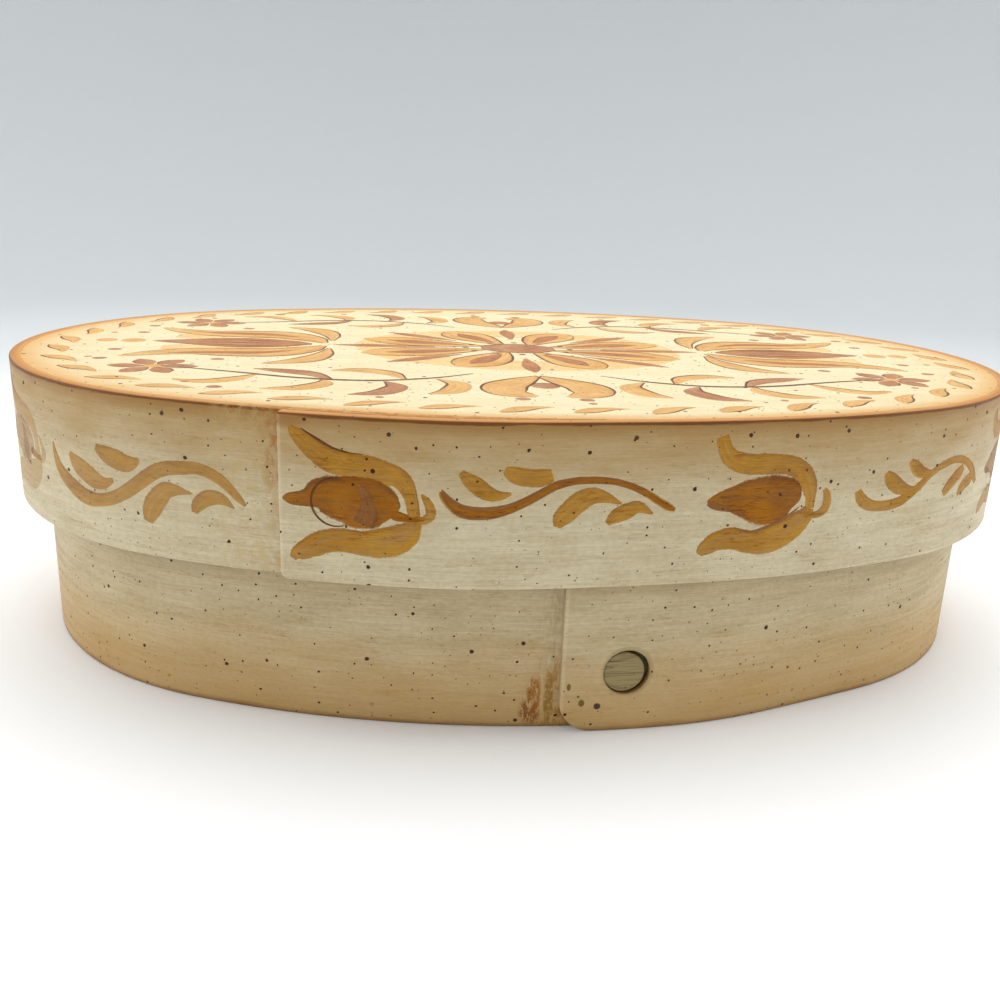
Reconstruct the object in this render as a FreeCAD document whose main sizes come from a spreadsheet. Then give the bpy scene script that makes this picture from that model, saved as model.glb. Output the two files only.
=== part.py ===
"""Oval bentwood box: a lapped base band round a bottom board, and a loose lid made the same way.

The origin is the centre of the base's underside. +X runs along the long axis, -Y faces the laps,
+Z is up. Lengths are millimetres. Positions along a band are arc lengths on its outer face,
counted from the middle of the front, positive towards +X.
"""
import FreeCAD, Part
import math
import os
import Sketcher
from FreeCAD import Placement, Rotation, Vector

doc = FreeCAD.newDocument("oval_box")
sheet = doc.addObject("Spreadsheet::Sheet", "Sizes")

DRIVING_SIZES = {
    # Base band, a bent strip whose outer end is lapped over its inner end
    "base_length": 291.0,
    "base_width": 199.0,
    "end_radius_share": 0.884,
    "base_height": 76.1,
    "base_wall": 2.8,
    "base_lap_start": 1.8,
    "base_lap_hold": 27.0,
    "base_ramp_share": 0.92,
    "base_corner_radius": 8.5,
    "base_edge_round": 0.6,
    # Lid band
    "lid_clearance": 4.2,
    "lid_skirt": 40.1,
    "lid_wall": 3.0,
    "lid_lap_start": -65.8,
    "lid_lap_hold": 27.0,
    "lid_ramp_share": 0.5,
    "lid_corner_radius": 2.0,
    "lid_edge_round": 0.5,
    "lid_rim_round": 0.6,
    # What both laps have
    "glue_gap": 0.15,
    "feather_thickness": 0.4,
    # Boards
    "base_panel_thickness": 9.5,
    "lid_panel_thickness": 5.0,
    "panel_joint_round": 0.3,
    # Wooden plugs, measured along the lap from its free end and up from the band's foot
    "plug_hole_diameter": 12.0,
    "plug_recess": 0.6,
    "plug_seat_share": 0.9,
    "base_plug_gap": 0.8,
    "base_plug_inset": 16.5,
    "base_plug_height": 16.2,
    "lid_plug_gap": 0.1,
    "lid_plug_inset": 13.5,
    "lid_plug_height": 20.0,
    # Fine pins round both boards, and the headed pin at the base lap's corner
    "pin_diameter": 1.0,
    "pin_depth_in_panel": 9.0,
    "base_pin_count": 14,
    "base_pin_height": 4.8,
    "lid_pin_count": 15,
    "lid_pin_start": -96.0,
    "lid_pin_drop": 3.6,
    "corner_pin_inset": 9.5,
    "corner_pin_height": 7.1,
    "corner_pin_head_diameter": 1.7,
    "corner_pin_head_thickness": 0.5,
    # One overrun for every cut
    "overrun": 1.0,
}

for row, (alias, amount) in enumerate(DRIVING_SIZES.items(), start=1):
    sheet.set(f"A{row}", alias)
    sheet.set(f"B{row}", str(amount))
    sheet.setAlias(f"B{row}", alias)
doc.recompute()


def number(formula):
    """Value of a formula over the sheet's cells, an angle in degrees."""
    value = sheet.evalExpression(formula)
    return float(getattr(value, "Value", value))


def cell(alias):
    """Formula text that reads one cell."""
    return f"Sizes.{alias}"


# Four-centre oval: two end arcs and two side arcs. Every oval of the box, from the bottom board
# to the lid's outer face, keeps these four centres and differs only by an offset.
HALF_LENGTH = f"({cell('base_length')} / 2)"
HALF_WIDTH = f"({cell('base_width')} / 2)"
END_RADIUS = f"({cell('end_radius_share')} * {HALF_WIDTH})"
END_CENTRE = f"({HALF_LENGTH} - {END_RADIUS})"
SIDE_RADIUS = f"(({END_CENTRE}^2 + {HALF_WIDTH}^2 - {END_RADIUS}^2) / (2 * ({HALF_WIDTH} - {END_RADIUS})))"
SIDE_CENTRE = f"({SIDE_RADIUS} - {HALF_WIDTH})"
SIDE_ANGLE = f"atan2({END_CENTRE}; {SIDE_CENTRE})"

# Offsets of the bands' faces from the base band's outer face
BASE_OUTER = "0"
LID_INNER = cell("lid_clearance")
LID_OUTER = f"({LID_INNER} + {cell('lid_wall')})"

# Heights
LID_TOP = f"({cell('base_height')} + {cell('lid_panel_thickness')})"
LID_FOOT = f"({LID_TOP} - {cell('lid_skirt')})"

# Centres of the oval's arcs as points: front and back side arcs, right and left end arcs
FRONT = Vector(0, number(SIDE_CENTRE), 0)
BACK = Vector(0, -number(SIDE_CENTRE), 0)
RIGHT = Vector(number(END_CENTRE), 0, 0)
LEFT = Vector(-number(END_CENTRE), 0, 0)


def front_normal(angle):
    """Outward direction on the front side arc, angle in degrees from -Y towards +X."""
    turn = math.radians(angle)
    return Vector(math.sin(turn), -math.cos(turn), 0)


def oval_point(offset, arc_length):
    """Point and outward direction at an arc length on the oval with this offset."""
    side = number(f"{SIDE_RADIUS} + {offset}")
    end = number(f"{END_RADIUS} + {offset}")
    quarter_turn = math.pi / 2
    half_side = math.radians(number(SIDE_ANGLE))
    half_end = quarter_turn - half_side
    stretches = [
        (FRONT, side, half_side),
        (RIGHT, end, 2 * half_end),
        (BACK, side, 2 * half_side),
        (LEFT, end, 2 * half_end),
        (FRONT, side, half_side),
    ]
    perimeter = sum(radius * sweep for _, radius, sweep in stretches)
    left_over = arc_length % perimeter
    angle = 0.0
    for centre, radius, sweep in stretches:
        if left_over <= radius * sweep:
            break
        left_over -= radius * sweep
        angle += sweep
    normal = front_normal(math.degrees(angle + left_over / radius))
    return centre + normal * radius, normal


def oval_perimeter(offset):
    """Whole arc length of the oval with this offset."""
    half_side = math.radians(number(SIDE_ANGLE))
    sides = 4 * half_side * number(f"{SIDE_RADIUS} + {offset}")
    ends = 4 * (math.pi / 2 - half_side) * number(f"{END_RADIUS} + {offset}")
    return sides + ends


def check(item):
    """Stop with the object's name if it failed or holds no sound shape."""
    if "Invalid" in item.State or "Error" in item.State:
        raise RuntimeError(f"{item.Name} failed to recompute: {item.State}")
    if item.Shape.isNull() or not item.Shape.isValid():
        raise RuntimeError(f"{item.Name} has no valid shape")


def origin_plane(body, role):
    """One of the body's own origin planes."""
    return next(feature for feature in body.Origin.OriginFeatures if feature.Role == role)


def new_sketch(body, name, role):
    """Empty sketch on one of the body's origin planes."""
    sketch = body.newObject("Sketcher::SketchObject", name)
    sketch.AttachmentSupport = [(origin_plane(body, role), "")]
    sketch.MapMode = "FlatFace"
    return sketch


class Chain:
    """Arcs drawn end to end in a sketch, each given by its two ends and its centre."""

    def __init__(self, sketch):
        self.sketch = sketch
        self.arcs = []

    def add(self, start, end, centre):
        """Draw an arc from start to end. Its direction of turn follows from the centre."""
        forward = (start - centre).cross(end - centre).z > 0
        first, last = (start, end) if forward else (end, start)
        circle = Part.Circle(centre, Vector(0, 0, 1), (start - centre).Length)
        arc = Part.ArcOfCircle(circle, circle.parameter(first), circle.parameter(last))
        index = self.sketch.addGeometry(arc, False)
        self.arcs.append((index, 1, 2) if forward else (index, 2, 1))
        return index

    def join(self, closed=False):
        """Make each arc start where the one before ends, without a kink."""
        followers = self.arcs[1:] + (self.arcs[:1] if closed else [])
        for (before, _, end), (after, start, _) in zip(self.arcs, followers):
            self.sketch.addConstraint(Sketcher.Constraint("Tangent", before, end, after, start))


def bind(sketch, name, formula, *constraint):
    """Add a dimension to the sketch under this name and tie it to a formula."""
    index = sketch.addConstraint(Sketcher.Constraint(*constraint, number(formula)))
    sketch.renameConstraint(index, name)
    sketch.setExpression(f"Constraints.{name}", formula)


def share_centre(sketch, first, *others):
    """Give arcs one centre."""
    for other in others:
        sketch.addConstraint(Sketcher.Constraint("Coincident", first, 3, other, 3))


def draw_oval(sketch, offset):
    """Closed oval with this offset, its four arcs fixed by the sheet's sizes."""
    side = number(f"{SIDE_RADIUS} + {offset}")
    normal = front_normal(number(SIDE_ANGLE))
    corner = FRONT + normal * side
    front_right = corner
    back_right = Vector(corner.x, -corner.y, 0)
    back_left = Vector(-corner.x, -corner.y, 0)
    front_left = Vector(-corner.x, corner.y, 0)
    chain = Chain(sketch)
    front = chain.add(front_left, front_right, FRONT)
    right = chain.add(front_right, back_right, RIGHT)
    back = chain.add(back_right, back_left, BACK)
    left = chain.add(back_left, front_left, LEFT)
    chain.join(closed=True)
    fix_oval(sketch, offset, (front, back), (right, left))


def fix_oval(sketch, offset, sides, ends):
    """Place the end arcs' centres and set the four radii."""
    for end, name, sign in zip(ends, ("right_centre", "left_centre"), ("", "-")):
        sketch.addConstraint(Sketcher.Constraint("PointOnObject", end, 3, -1))
        bind(sketch, name, f"{sign}{END_CENTRE}", "DistanceX", end, 3)
    sketch.addConstraint(Sketcher.Constraint("Equal", *ends))
    bind(sketch, "end_radius", f"{END_RADIUS} + {offset}", "Radius", ends[0])
    for other in sides[1:]:
        sketch.addConstraint(Sketcher.Constraint("Equal", sides[0], other))
    bind(sketch, "side_radius", f"{SIDE_RADIUS} + {offset}", "Radius", sides[0])


def pad(body, sketch, length):
    """Raise a sketch by a length given as a formula."""
    feature = body.newObject("PartDesign::Pad", f"{body.Name}_pad")
    feature.Profile = sketch
    feature.setExpression("Length", length)
    doc.recompute()
    check(feature)


def nearest_edge(shape, point):
    """Name of the edge that passes through a point."""
    probe = Part.Vertex(point)
    gaps = [edge.distToShape(probe)[0] for edge in shape.Edges]
    return f"Edge{gaps.index(min(gaps)) + 1}"


def soften(body, name, points, radius):
    """Round the edges that pass through the points, and the edges that run on smoothly."""
    base = body.Tip
    feature = body.newObject("PartDesign::Fillet", name)
    feature.Base = (base, [nearest_edge(base.Shape, point) for point in points])
    feature.setExpression("Radius", radius)
    doc.recompute()
    check(feature)


class Lap:
    """Where a band's outer end is lapped over its inner end, on the front side arc.

    From its free end the outer layer first lies a glue line above the inner layer, then comes
    down a ramp of two arcs to the plain oval. The inner layer is planed away under the ramp.
    """

    def __init__(self, offset, wall, start, hold, ramp_share):
        self.offset = offset
        self.wall = wall
        self.step = f"({wall} + {cell('glue_gap')})"
        self.side_radius = f"({SIDE_RADIUS} + {offset})"
        self.start = start
        self.free_angle = self.angle_from_free_end("0")
        self.hold_angle = self.angle_from_free_end(hold)
        self.ramp_angle = f"({self.hold_angle} + {ramp_share} * ({SIDE_ANGLE} - {self.hold_angle}))"
        self.outer_radius = f"({self.side_radius} + {self.step})"
        self.find_ramp()

    def angle_from_free_end(self, inset):
        """Angle on the front side arc at a distance along the lap from its free end."""
        return f"(({self.start} + {inset}) * 180 deg / pi / {self.side_radius})"

    def find_ramp(self):
        """Two arcs that lead from the outer layer down to the plain oval."""
        high = front_normal(number(self.hold_angle))
        low = front_normal(number(self.ramp_angle))
        self.ramp_top = FRONT + high * number(self.outer_radius)
        self.ramp_foot = FRONT + low * number(self.side_radius)
        start_way = Vector(-high.y, high.x, 0)
        end_way = Vector(-low.y, low.x, 0)
        chord = self.ramp_foot - self.ramp_top
        along = chord.dot(start_way + end_way)
        turn = 2 * (1 - start_way.dot(end_way))
        reach = (math.sqrt(along ** 2 + turn * chord.dot(chord)) - along) / turn
        self.ramp_middle = (self.ramp_top + self.ramp_foot + (start_way - end_way) * reach) / 2
        self.upper_centre = self.tangent_centre(self.ramp_top, high)
        self.lower_centre = self.tangent_centre(self.ramp_foot, low)
        self.middle_normal = (self.ramp_middle - self.upper_centre).normalize()

    def tangent_centre(self, point, normal):
        """Centre of the circle that passes through the ramp's middle and touches at a point."""
        chord = self.ramp_middle - point
        return point + normal * (chord.dot(chord) / (2 * normal.dot(chord)))

    def surface_offset(self, arc_length):
        """How far the band's outermost face stands above the plain oval, in millimetres."""
        side_radius = number(self.side_radius)
        angle = math.degrees(arc_length / side_radius)
        if angle < number(self.free_angle) or angle > number(self.ramp_angle):
            return 0.0
        if angle <= number(self.hold_angle):
            return number(self.step)
        normal = front_normal(angle)
        on_upper_arc = (FRONT + normal * side_radius).x < self.ramp_middle.x
        centre = self.upper_centre if on_upper_arc else self.lower_centre
        bend = (self.ramp_middle - centre).dot(self.middle_normal)
        away = centre - FRONT
        along = away.dot(normal)
        half_chord = math.sqrt(bend ** 2 - away.dot(away) + along ** 2)
        return along + math.copysign(half_chord, bend) - side_radius


def draw_lapped_strip(sketch, lap):
    """Closed outline of the bent strip seen from above, both layers of its lap included."""
    wall = number(lap.wall)
    step = number(lap.step)
    side_radius = number(lap.side_radius)
    free = front_normal(number(lap.free_angle))
    hold = front_normal(number(lap.hold_angle))
    ramp = front_normal(number(lap.ramp_angle))
    corner = front_normal(number(SIDE_ANGLE))
    flips = [(1, 1), (1, -1), (-1, -1), (-1, 1)]
    corners = [Vector(corner.x * x, corner.y * y, 0) for x, y in flips]
    centres = [FRONT, BACK, BACK, FRONT]

    # Joints of the strip from its free end to its feathered end: outer face point and normal
    joints = [
        (FRONT + free * number(lap.outer_radius), free),
        (lap.ramp_top, hold),
        (lap.ramp_middle, lap.middle_normal),
        (lap.ramp_foot, ramp),
    ]
    joints += [(centre + normal * side_radius, normal) for centre, normal in zip(centres, corners)]
    arc_centres = [FRONT, lap.upper_centre, lap.lower_centre, FRONT, RIGHT, BACK, LEFT, FRONT]

    outer = Chain(sketch)
    for (start, _), (end, _), centre in zip(joints, joints[1:], arc_centres):
        outer.add(start, end, centre)

    # The inner layer passes under the free end and follows the underside of the ramp
    under_hold = FRONT + hold * side_radius
    under_middle = lap.ramp_middle - lap.middle_normal * step
    tip, tip_inner = feather_tip(lap)
    outer.add(joints[-1][0], under_hold, FRONT)
    outer.add(under_hold, under_middle, lap.upper_centre)
    outer.add(under_middle, tip, lap.lower_centre)

    inner = Chain(sketch)
    insides = [point - normal * wall for point, normal in joints] + [tip_inner]
    for start, end, centre in zip(insides, insides[1:], arc_centres):
        inner.add(start, end, centre)

    outer.join()
    inner.join()
    fix_strip(sketch, lap, outer.arcs, inner.arcs, (joints[0][0], insides[0]), (tip, tip_inner))


def feather_tip(lap):
    """Outer and inner corners of the feathered end, where its thickness is the feather's."""
    inner_radius = number(f"{lap.side_radius} - {lap.wall}")
    tip_radius = inner_radius + number(cell("feather_thickness"))
    ramp = front_normal(number(lap.ramp_angle))
    face_radius = (lap.ramp_foot - lap.lower_centre).dot(ramp) - number(lap.step)
    away = (lap.lower_centre - FRONT).dot(ramp)
    cosine = (tip_radius ** 2 + away ** 2 - face_radius ** 2) / (2 * tip_radius * away)
    normal = front_normal(number(lap.ramp_angle) - math.degrees(math.acos(cosine)))
    return FRONT + normal * tip_radius, FRONT + normal * inner_radius


def fix_strip(sketch, lap, outer, inner, free_end, tip):
    """Constraints of the lapped strip: shared centres, ends, radii and the lap's places."""
    outer_arcs = [arc[0] for arc in outer]
    inner_arcs = [arc[0] for arc in inner]
    lead, upper, lower, front, right, back, left, under, under_upper, under_lower = outer_arcs
    in_lead, in_upper, in_lower, in_front, in_right, in_back, in_left, in_under = inner_arcs
    free_line = sketch.addGeometry(Part.LineSegment(*free_end), False)
    tip_line = sketch.addGeometry(Part.LineSegment(*tip), False)
    ends = [
        (free_line, 1, outer[0][0], outer[0][1]),
        (free_line, 2, inner[0][0], inner[0][1]),
        (tip_line, 1, outer[-1][0], outer[-1][2]),
        (tip_line, 2, inner[-1][0], inner[-1][2]),
    ]
    for line, line_end, arc, arc_end in ends:
        sketch.addConstraint(Sketcher.Constraint("Coincident", line, line_end, arc, arc_end))
    share_centre(sketch, front, lead, under, in_lead, in_front, in_under)
    share_centre(sketch, upper, in_upper, under_upper)
    share_centre(sketch, lower, in_lower, under_lower)
    share_centre(sketch, right, in_right)
    share_centre(sketch, back, in_back)
    share_centre(sketch, left, in_left)
    fix_oval(sketch, lap.offset, (front, back, under), (right, left))
    bind(sketch, "inner_end_radius", f"{END_RADIUS} + {lap.offset} - {lap.wall}", "Radius", in_right)
    bind(sketch, "lap_radius", lap.outer_radius, "Radius", lead)
    for line in (free_line, tip_line):
        sketch.addConstraint(Sketcher.Constraint("PointOnObject", front, 3, line))
    bind(sketch, "free_end", f"{lap.outer_radius} * sin({lap.free_angle})", "DistanceX", lead, outer[0][1])
    bind(sketch, "ramp_top", f"{lap.outer_radius} * sin({lap.hold_angle})", "DistanceX", lead, outer[0][2])
    bind(sketch, "ramp_foot", f"{lap.side_radius} * sin({lap.ramp_angle})", "DistanceX", front, outer[3][1])
    middle = f"({lap.side_radius} + {lap.step} / 2) * sin(({lap.hold_angle} + {lap.ramp_angle}) / 2)"
    bind(sketch, "ramp_middle", middle, "DistanceX", upper, outer[1][2])
    bind(sketch, "feather", cell("feather_thickness"), "Distance", tip_line)


def make_band(name, lap, foot, height, corner_radius, edge_round, rim_round):
    """Bent strip with its free end's lower corner rounded and its outer edges eased."""
    body = doc.addObject("PartDesign::Body", name)
    sketch = new_sketch(body, f"{name}_outline", "XY_Plane")
    sketch.setExpression(".AttachmentOffset.Base.z", foot)
    draw_lapped_strip(sketch, lap)
    pad(body, sketch, height)
    low = Vector(0, 0, number(foot))
    top = low + Vector(0, 0, number(height))
    middle_radius = number(f"{lap.outer_radius} - {lap.wall} / 2")
    corner = FRONT + front_normal(number(lap.free_angle)) * middle_radius
    back = BACK - front_normal(0) * number(lap.side_radius)
    soften(body, f"{name}_corner", [corner + low], corner_radius)
    soften(body, f"{name}_rim", [back + top], rim_round)
    soften(body, f"{name}_foot_edge", [back + low], edge_round)
    return body


def face_sketch(body, name, radius, arc_angle, height):
    """Sketch square to the front side arc, facing outwards, at a radius, an angle and a height."""
    sketch = new_sketch(body, name, "XZ_Plane")
    sketch.AttachmentOffset = Placement(Vector(), Rotation(Vector(0, 1, 0), number(arc_angle)))
    sketch.setExpression(".AttachmentOffset.Rotation.Angle", arc_angle)
    sketch.setExpression(".AttachmentOffset.Base.x", f"{radius} * sin({arc_angle})")
    sketch.setExpression(".AttachmentOffset.Base.y", height)
    sketch.setExpression(".AttachmentOffset.Base.z", f"{radius} * cos({arc_angle}) - {SIDE_CENTRE}")
    return sketch


def draw_circle(sketch, diameter, shift="0"):
    """Circle on the sketch's horizontal axis, moved sideways from its origin by a shift."""
    circle = Part.Circle(Vector(number(shift), 0, 0), Vector(0, 0, 1), number(diameter) / 2)
    index = sketch.addGeometry(circle, False)
    sketch.addConstraint(Sketcher.Constraint("PointOnObject", index, 3, -1))
    bind(sketch, "shift", shift, "DistanceX", index, 3)
    bind(sketch, "diameter", diameter, "Diameter", index)


def drill_lap(body, name, lap, arc_angle, height):
    """Plug hole through both layers of a lap."""
    before = body.Tip.Shape.Volume
    radius = f"({lap.outer_radius} + {cell('overrun')})"
    sketch = face_sketch(body, f"{name}_circle", radius, arc_angle, height)
    draw_circle(sketch, cell("plug_hole_diameter"))
    feature = body.newObject("PartDesign::Pocket", name)
    feature.Profile = sketch
    feature.setExpression("Length", f"{lap.step} + {lap.wall} + 2 * {cell('overrun')}")
    doc.recompute()
    check(feature)
    two_layers = number(f"pi / 4 * {cell('plug_hole_diameter')}^2 * 2 * {lap.wall}")
    if before - feature.Shape.Volume < two_layers / 2:
        raise RuntimeError(f"{name} doesn't pass through the lap")


def make_plug(name, lap, arc_angle, height, gap, recess):
    """Round wooden plug that fills a lap's hole from the inner face out."""
    body = doc.addObject("PartDesign::Body", name)
    sketch = face_sketch(body, f"{name}_circle", f"({lap.side_radius} - {lap.wall})", arc_angle, height)
    shift = f"-{cell('plug_seat_share')} * {gap} / 2"
    draw_circle(sketch, f"({cell('plug_hole_diameter')} - {gap})", shift)
    pad(body, sketch, f"{lap.step} + {lap.wall} - {recess}")
    return body


def make_panel(name, offset, foot, thickness):
    """Oval board that fills a band, its upper edge eased."""
    body = doc.addObject("PartDesign::Body", name)
    sketch = new_sketch(body, f"{name}_outline", "XY_Plane")
    sketch.setExpression(".AttachmentOffset.Base.z", foot)
    draw_oval(sketch, offset)
    pad(body, sketch, thickness)
    back = BACK - front_normal(0) * number(f"{SIDE_RADIUS} + {offset}")
    top = Vector(0, 0, number(f"{foot} + {thickness}"))
    soften(body, f"{name}_edge", [back + top], cell("panel_joint_round"))
    return body


def make_pins(name, lap, arc_lengths, height):
    """Headless pins driven square through a band into its board, flush with the band's face."""
    pins = []
    for count, arc_length in enumerate(arc_lengths, start=1):
        surface, normal = oval_point(lap.offset, arc_length)
        start = surface + normal * lap.surface_offset(arc_length)
        pin = doc.addObject("Part::Cylinder", f"{name}_{count}")
        pin.setExpression("Radius", f"{cell('pin_diameter')} / 2")
        pin.setExpression("Height", f"{lap.step} + {lap.wall} + {cell('pin_depth_in_panel')}")
        start.z = number(height)
        pin.Placement = Placement(start, Rotation(Vector(0, 0, 1), -normal))
        pins.append(pin)
    group = doc.addObject("Part::Compound", name)
    group.Links = pins
    return group


def make_corner_pin(name, lap, arc_angle, height):
    """Pin with a small round head, driven through the lap's corner into the bottom board."""
    body = doc.addObject("PartDesign::Body", name)
    lengths = {
        "corner_pin_head": cell("corner_pin_head_thickness"),
        "pin": f"{lap.step} + {lap.wall} + {cell('pin_depth_in_panel')}",
    }
    for part_name, length in lengths.items():
        sketch = face_sketch(body, f"{name}_{part_name}_circle", lap.outer_radius, arc_angle, height)
        draw_circle(sketch, cell(f"{part_name}_diameter"))
        feature = body.newObject("PartDesign::Pad", f"{name}_{part_name}")
        feature.Profile = sketch
        feature.Reversed = True
        feature.setExpression("Length", length)
        doc.recompute()
        check(feature)
    return body


def pierce(name, base, *groups):
    """Piece left when each pin of the groups has made its own hole in the base.

    The pins are very fine beside the wide curved walls, so every hole is tested.
    """
    uncut_share = 0.001
    pins = [solid for group in groups for solid in group.Shape.Solids]
    piece = doc.addObject("Part::Feature", name)
    piece.Shape = base.Shape.cut(pins)
    piece.Placement = Placement()
    left_standing = max(piece.Shape.common(pin).Volume / pin.Volume for pin in pins)
    if left_standing > uncut_share:
        raise RuntimeError(f"{name} lacks a pin's hole")
    return piece


# Laps
base_lap = Lap(
    BASE_OUTER,
    cell("base_wall"),
    cell("base_lap_start"),
    cell("base_lap_hold"),
    cell("base_ramp_share"),
)
lid_lap = Lap(
    LID_OUTER,
    cell("lid_wall"),
    cell("lid_lap_start"),
    cell("lid_lap_hold"),
    cell("lid_ramp_share"),
)

# Base band with its two plug holes, as far from the rim as from the foot
base_strip = make_band(
    "base_strip",
    base_lap,
    "0",
    cell("base_height"),
    cell("base_corner_radius"),
    cell("base_edge_round"),
    cell("base_edge_round"),
)
base_plug_angle = base_lap.angle_from_free_end(cell("base_plug_inset"))
upper_plug_height = f"({cell('base_height')} - {cell('base_plug_height')})"
drill_lap(base_strip, "base_lower_hole", base_lap, base_plug_angle, cell("base_plug_height"))
drill_lap(base_strip, "base_upper_hole", base_lap, base_plug_angle, upper_plug_height)

# Lid band with its one plug hole, flush plug
lid_strip = make_band(
    "lid_strip",
    lid_lap,
    LID_FOOT,
    cell("lid_skirt"),
    cell("lid_corner_radius"),
    cell("lid_edge_round"),
    cell("lid_rim_round"),
)
lid_plug_angle = lid_lap.angle_from_free_end(cell("lid_plug_inset"))
lid_plug_height = f"({LID_FOOT} + {cell('lid_plug_height')})"
drill_lap(lid_strip, "lid_hole", lid_lap, lid_plug_angle, lid_plug_height)

# Boards. The lid's rests on the rim of the base band
base_inside = f"(-{cell('base_wall')})"
base_board = make_panel("base_board", base_inside, "0", cell("base_panel_thickness"))
lid_board = make_panel("lid_board", LID_INNER, cell("base_height"), cell("lid_panel_thickness"))

# Plugs
base_plug = (base_lap, base_plug_angle)
base_lower_plug = make_plug(
    "base_lower_plug", *base_plug, cell("base_plug_height"), cell("base_plug_gap"), cell("plug_recess")
)
base_upper_plug = make_plug(
    "base_upper_plug", *base_plug, upper_plug_height, cell("base_plug_gap"), cell("plug_recess")
)
lid_plug = make_plug("lid_plug", lid_lap, lid_plug_angle, lid_plug_height, cell("lid_plug_gap"), "0")

# Pins at an even pitch. The base's row starts from its corner pin
corner_place = f"({cell('base_lap_start')} + {cell('corner_pin_inset')})"
base_count = int(number(cell("base_pin_count")))
lid_count = int(number(cell("lid_pin_count")))
base_pitch = oval_perimeter(BASE_OUTER) / base_count
lid_pitch = oval_perimeter(LID_OUTER) / lid_count
base_places = [number(corner_place) + base_pitch * step for step in range(1, base_count)]
lid_places = [number(cell("lid_pin_start")) + lid_pitch * step for step in range(lid_count)]
base_pins = make_pins("base_panel_pins", base_lap, base_places, cell("base_pin_height"))
lid_pins = make_pins("lid_panel_pins", lid_lap, lid_places, f"({LID_TOP} - {cell('lid_pin_drop')})")
corner_pin = make_corner_pin(
    "base_corner_pin",
    base_lap,
    base_lap.angle_from_free_end(cell("corner_pin_inset")),
    cell("corner_pin_height"),
)

doc.recompute()
NODES = {
    "base_band": pierce("base_band", base_strip, base_pins, corner_pin),
    "base_panel": pierce("base_panel", base_board, base_pins, corner_pin),
    "base_lower_plug": base_lower_plug,
    "base_upper_plug": base_upper_plug,
    "base_corner_pin": corner_pin,
    "base_panel_pins": base_pins,
    "lid_band": pierce("lid_band", lid_strip, lid_pins),
    "lid_panel": pierce("lid_panel", lid_board, lid_pins),
    "lid_plug": lid_plug,
    "lid_panel_pins": lid_pins,
}
doc.recompute()
for item in doc.Objects:
    if "Invalid" in item.State or "Error" in item.State:
        raise RuntimeError(f"{item.Name} failed to recompute: {item.State}")

os.makedirs("parts", exist_ok=True)
for label, item in NODES.items():
    check(item)
    item.Label = label
    item.Shape.exportStep(f"parts/{label}.step")
    print(f"{label}: {len(item.Shape.Solids)} solids, {item.Shape.Volume:.1f} mm3")
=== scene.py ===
import math
import random

import bpy
from mathutils import Matrix, Vector, noise


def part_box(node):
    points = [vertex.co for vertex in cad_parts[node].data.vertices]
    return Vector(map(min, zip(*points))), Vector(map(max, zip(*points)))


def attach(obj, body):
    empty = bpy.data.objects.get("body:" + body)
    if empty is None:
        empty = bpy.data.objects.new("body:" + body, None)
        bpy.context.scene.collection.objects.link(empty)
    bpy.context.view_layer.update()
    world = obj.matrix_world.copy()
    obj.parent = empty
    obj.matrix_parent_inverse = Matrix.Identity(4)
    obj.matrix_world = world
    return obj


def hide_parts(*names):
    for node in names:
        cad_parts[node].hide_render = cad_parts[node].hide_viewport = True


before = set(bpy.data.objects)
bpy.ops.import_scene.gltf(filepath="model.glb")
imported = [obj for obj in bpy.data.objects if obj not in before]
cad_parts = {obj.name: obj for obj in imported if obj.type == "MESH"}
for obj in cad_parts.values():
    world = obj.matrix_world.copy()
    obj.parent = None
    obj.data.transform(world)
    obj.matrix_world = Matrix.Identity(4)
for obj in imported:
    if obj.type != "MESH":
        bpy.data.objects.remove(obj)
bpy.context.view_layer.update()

MM = 0.001


# The view: a hand-held camera close to the box, a little above the lid and a little to the left
# of the middle of its front, tipped down and slightly out of level.
camera_spot = Vector((-38.84, -324.14, 130.11)) * MM
camera_turn = -0.1071
camera_tip = 0.2994
camera_lean = 0.0378
lens_length = 36.17

view_camera = bpy.data.objects.new("view_camera", bpy.data.cameras.new("view_camera"))
view_camera.data.lens = lens_length
view_camera.data.sensor_width = 36.0
view_camera.data.clip_start = 0.01
view_camera.data.clip_end = 20.0
view_camera.matrix_world = (
    Matrix.Translation(camera_spot)
    @ Matrix.Rotation(camera_turn, 4, "Z")
    @ Matrix.Rotation(math.pi / 2 - camera_tip, 4, "X")
    @ Matrix.Rotation(camera_lean, 4, "Z")
)
bpy.context.scene.collection.objects.link(view_camera)
bpy.context.scene.camera = view_camera
bpy.context.scene.view_settings.view_transform = "Standard"


# The studio: one seamless white sweep that turns up into a pale blue-grey wall all round, a
# large soft lamp overhead and a little behind the box, a weak one at each end, and even light.
def srgb(red, green, blue):
    """Linear colour of a tint given as 0 to 255 on a screen."""
    return tuple(
        (c / 12.92 if c <= 0.04045 else ((c + 0.055) / 1.055) ** 2.4)
        for c in (red / 255, green / 255, blue / 255)
    ) + (1.0,)


def lay_node(tree, kind, feeds=None, **settings):
    """A shader node with its settings made and its sockets filled or joined."""
    node = tree.nodes.new(kind)
    for name, value in settings.items():
        setattr(node, name, value)
    for socket, feed in (feeds or {}).items():
        if isinstance(feed, bpy.types.NodeSocket):
            tree.links.new(feed, node.inputs[socket])
        else:
            node.inputs[socket].default_value = feed
    return node


def reckon(tree, operation, *terms, clamp=False):
    """Output of one sum over numbers or sockets."""
    feeds = dict(enumerate(terms))
    return lay_node(tree, "ShaderNodeMath", feeds, operation=operation, use_clamp=clamp).outputs[0]


def times(tree, first, second, clamp=False):
    """Output of a product of two numbers or sockets."""
    return reckon(tree, "MULTIPLY", first, second, clamp=clamp)


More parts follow.
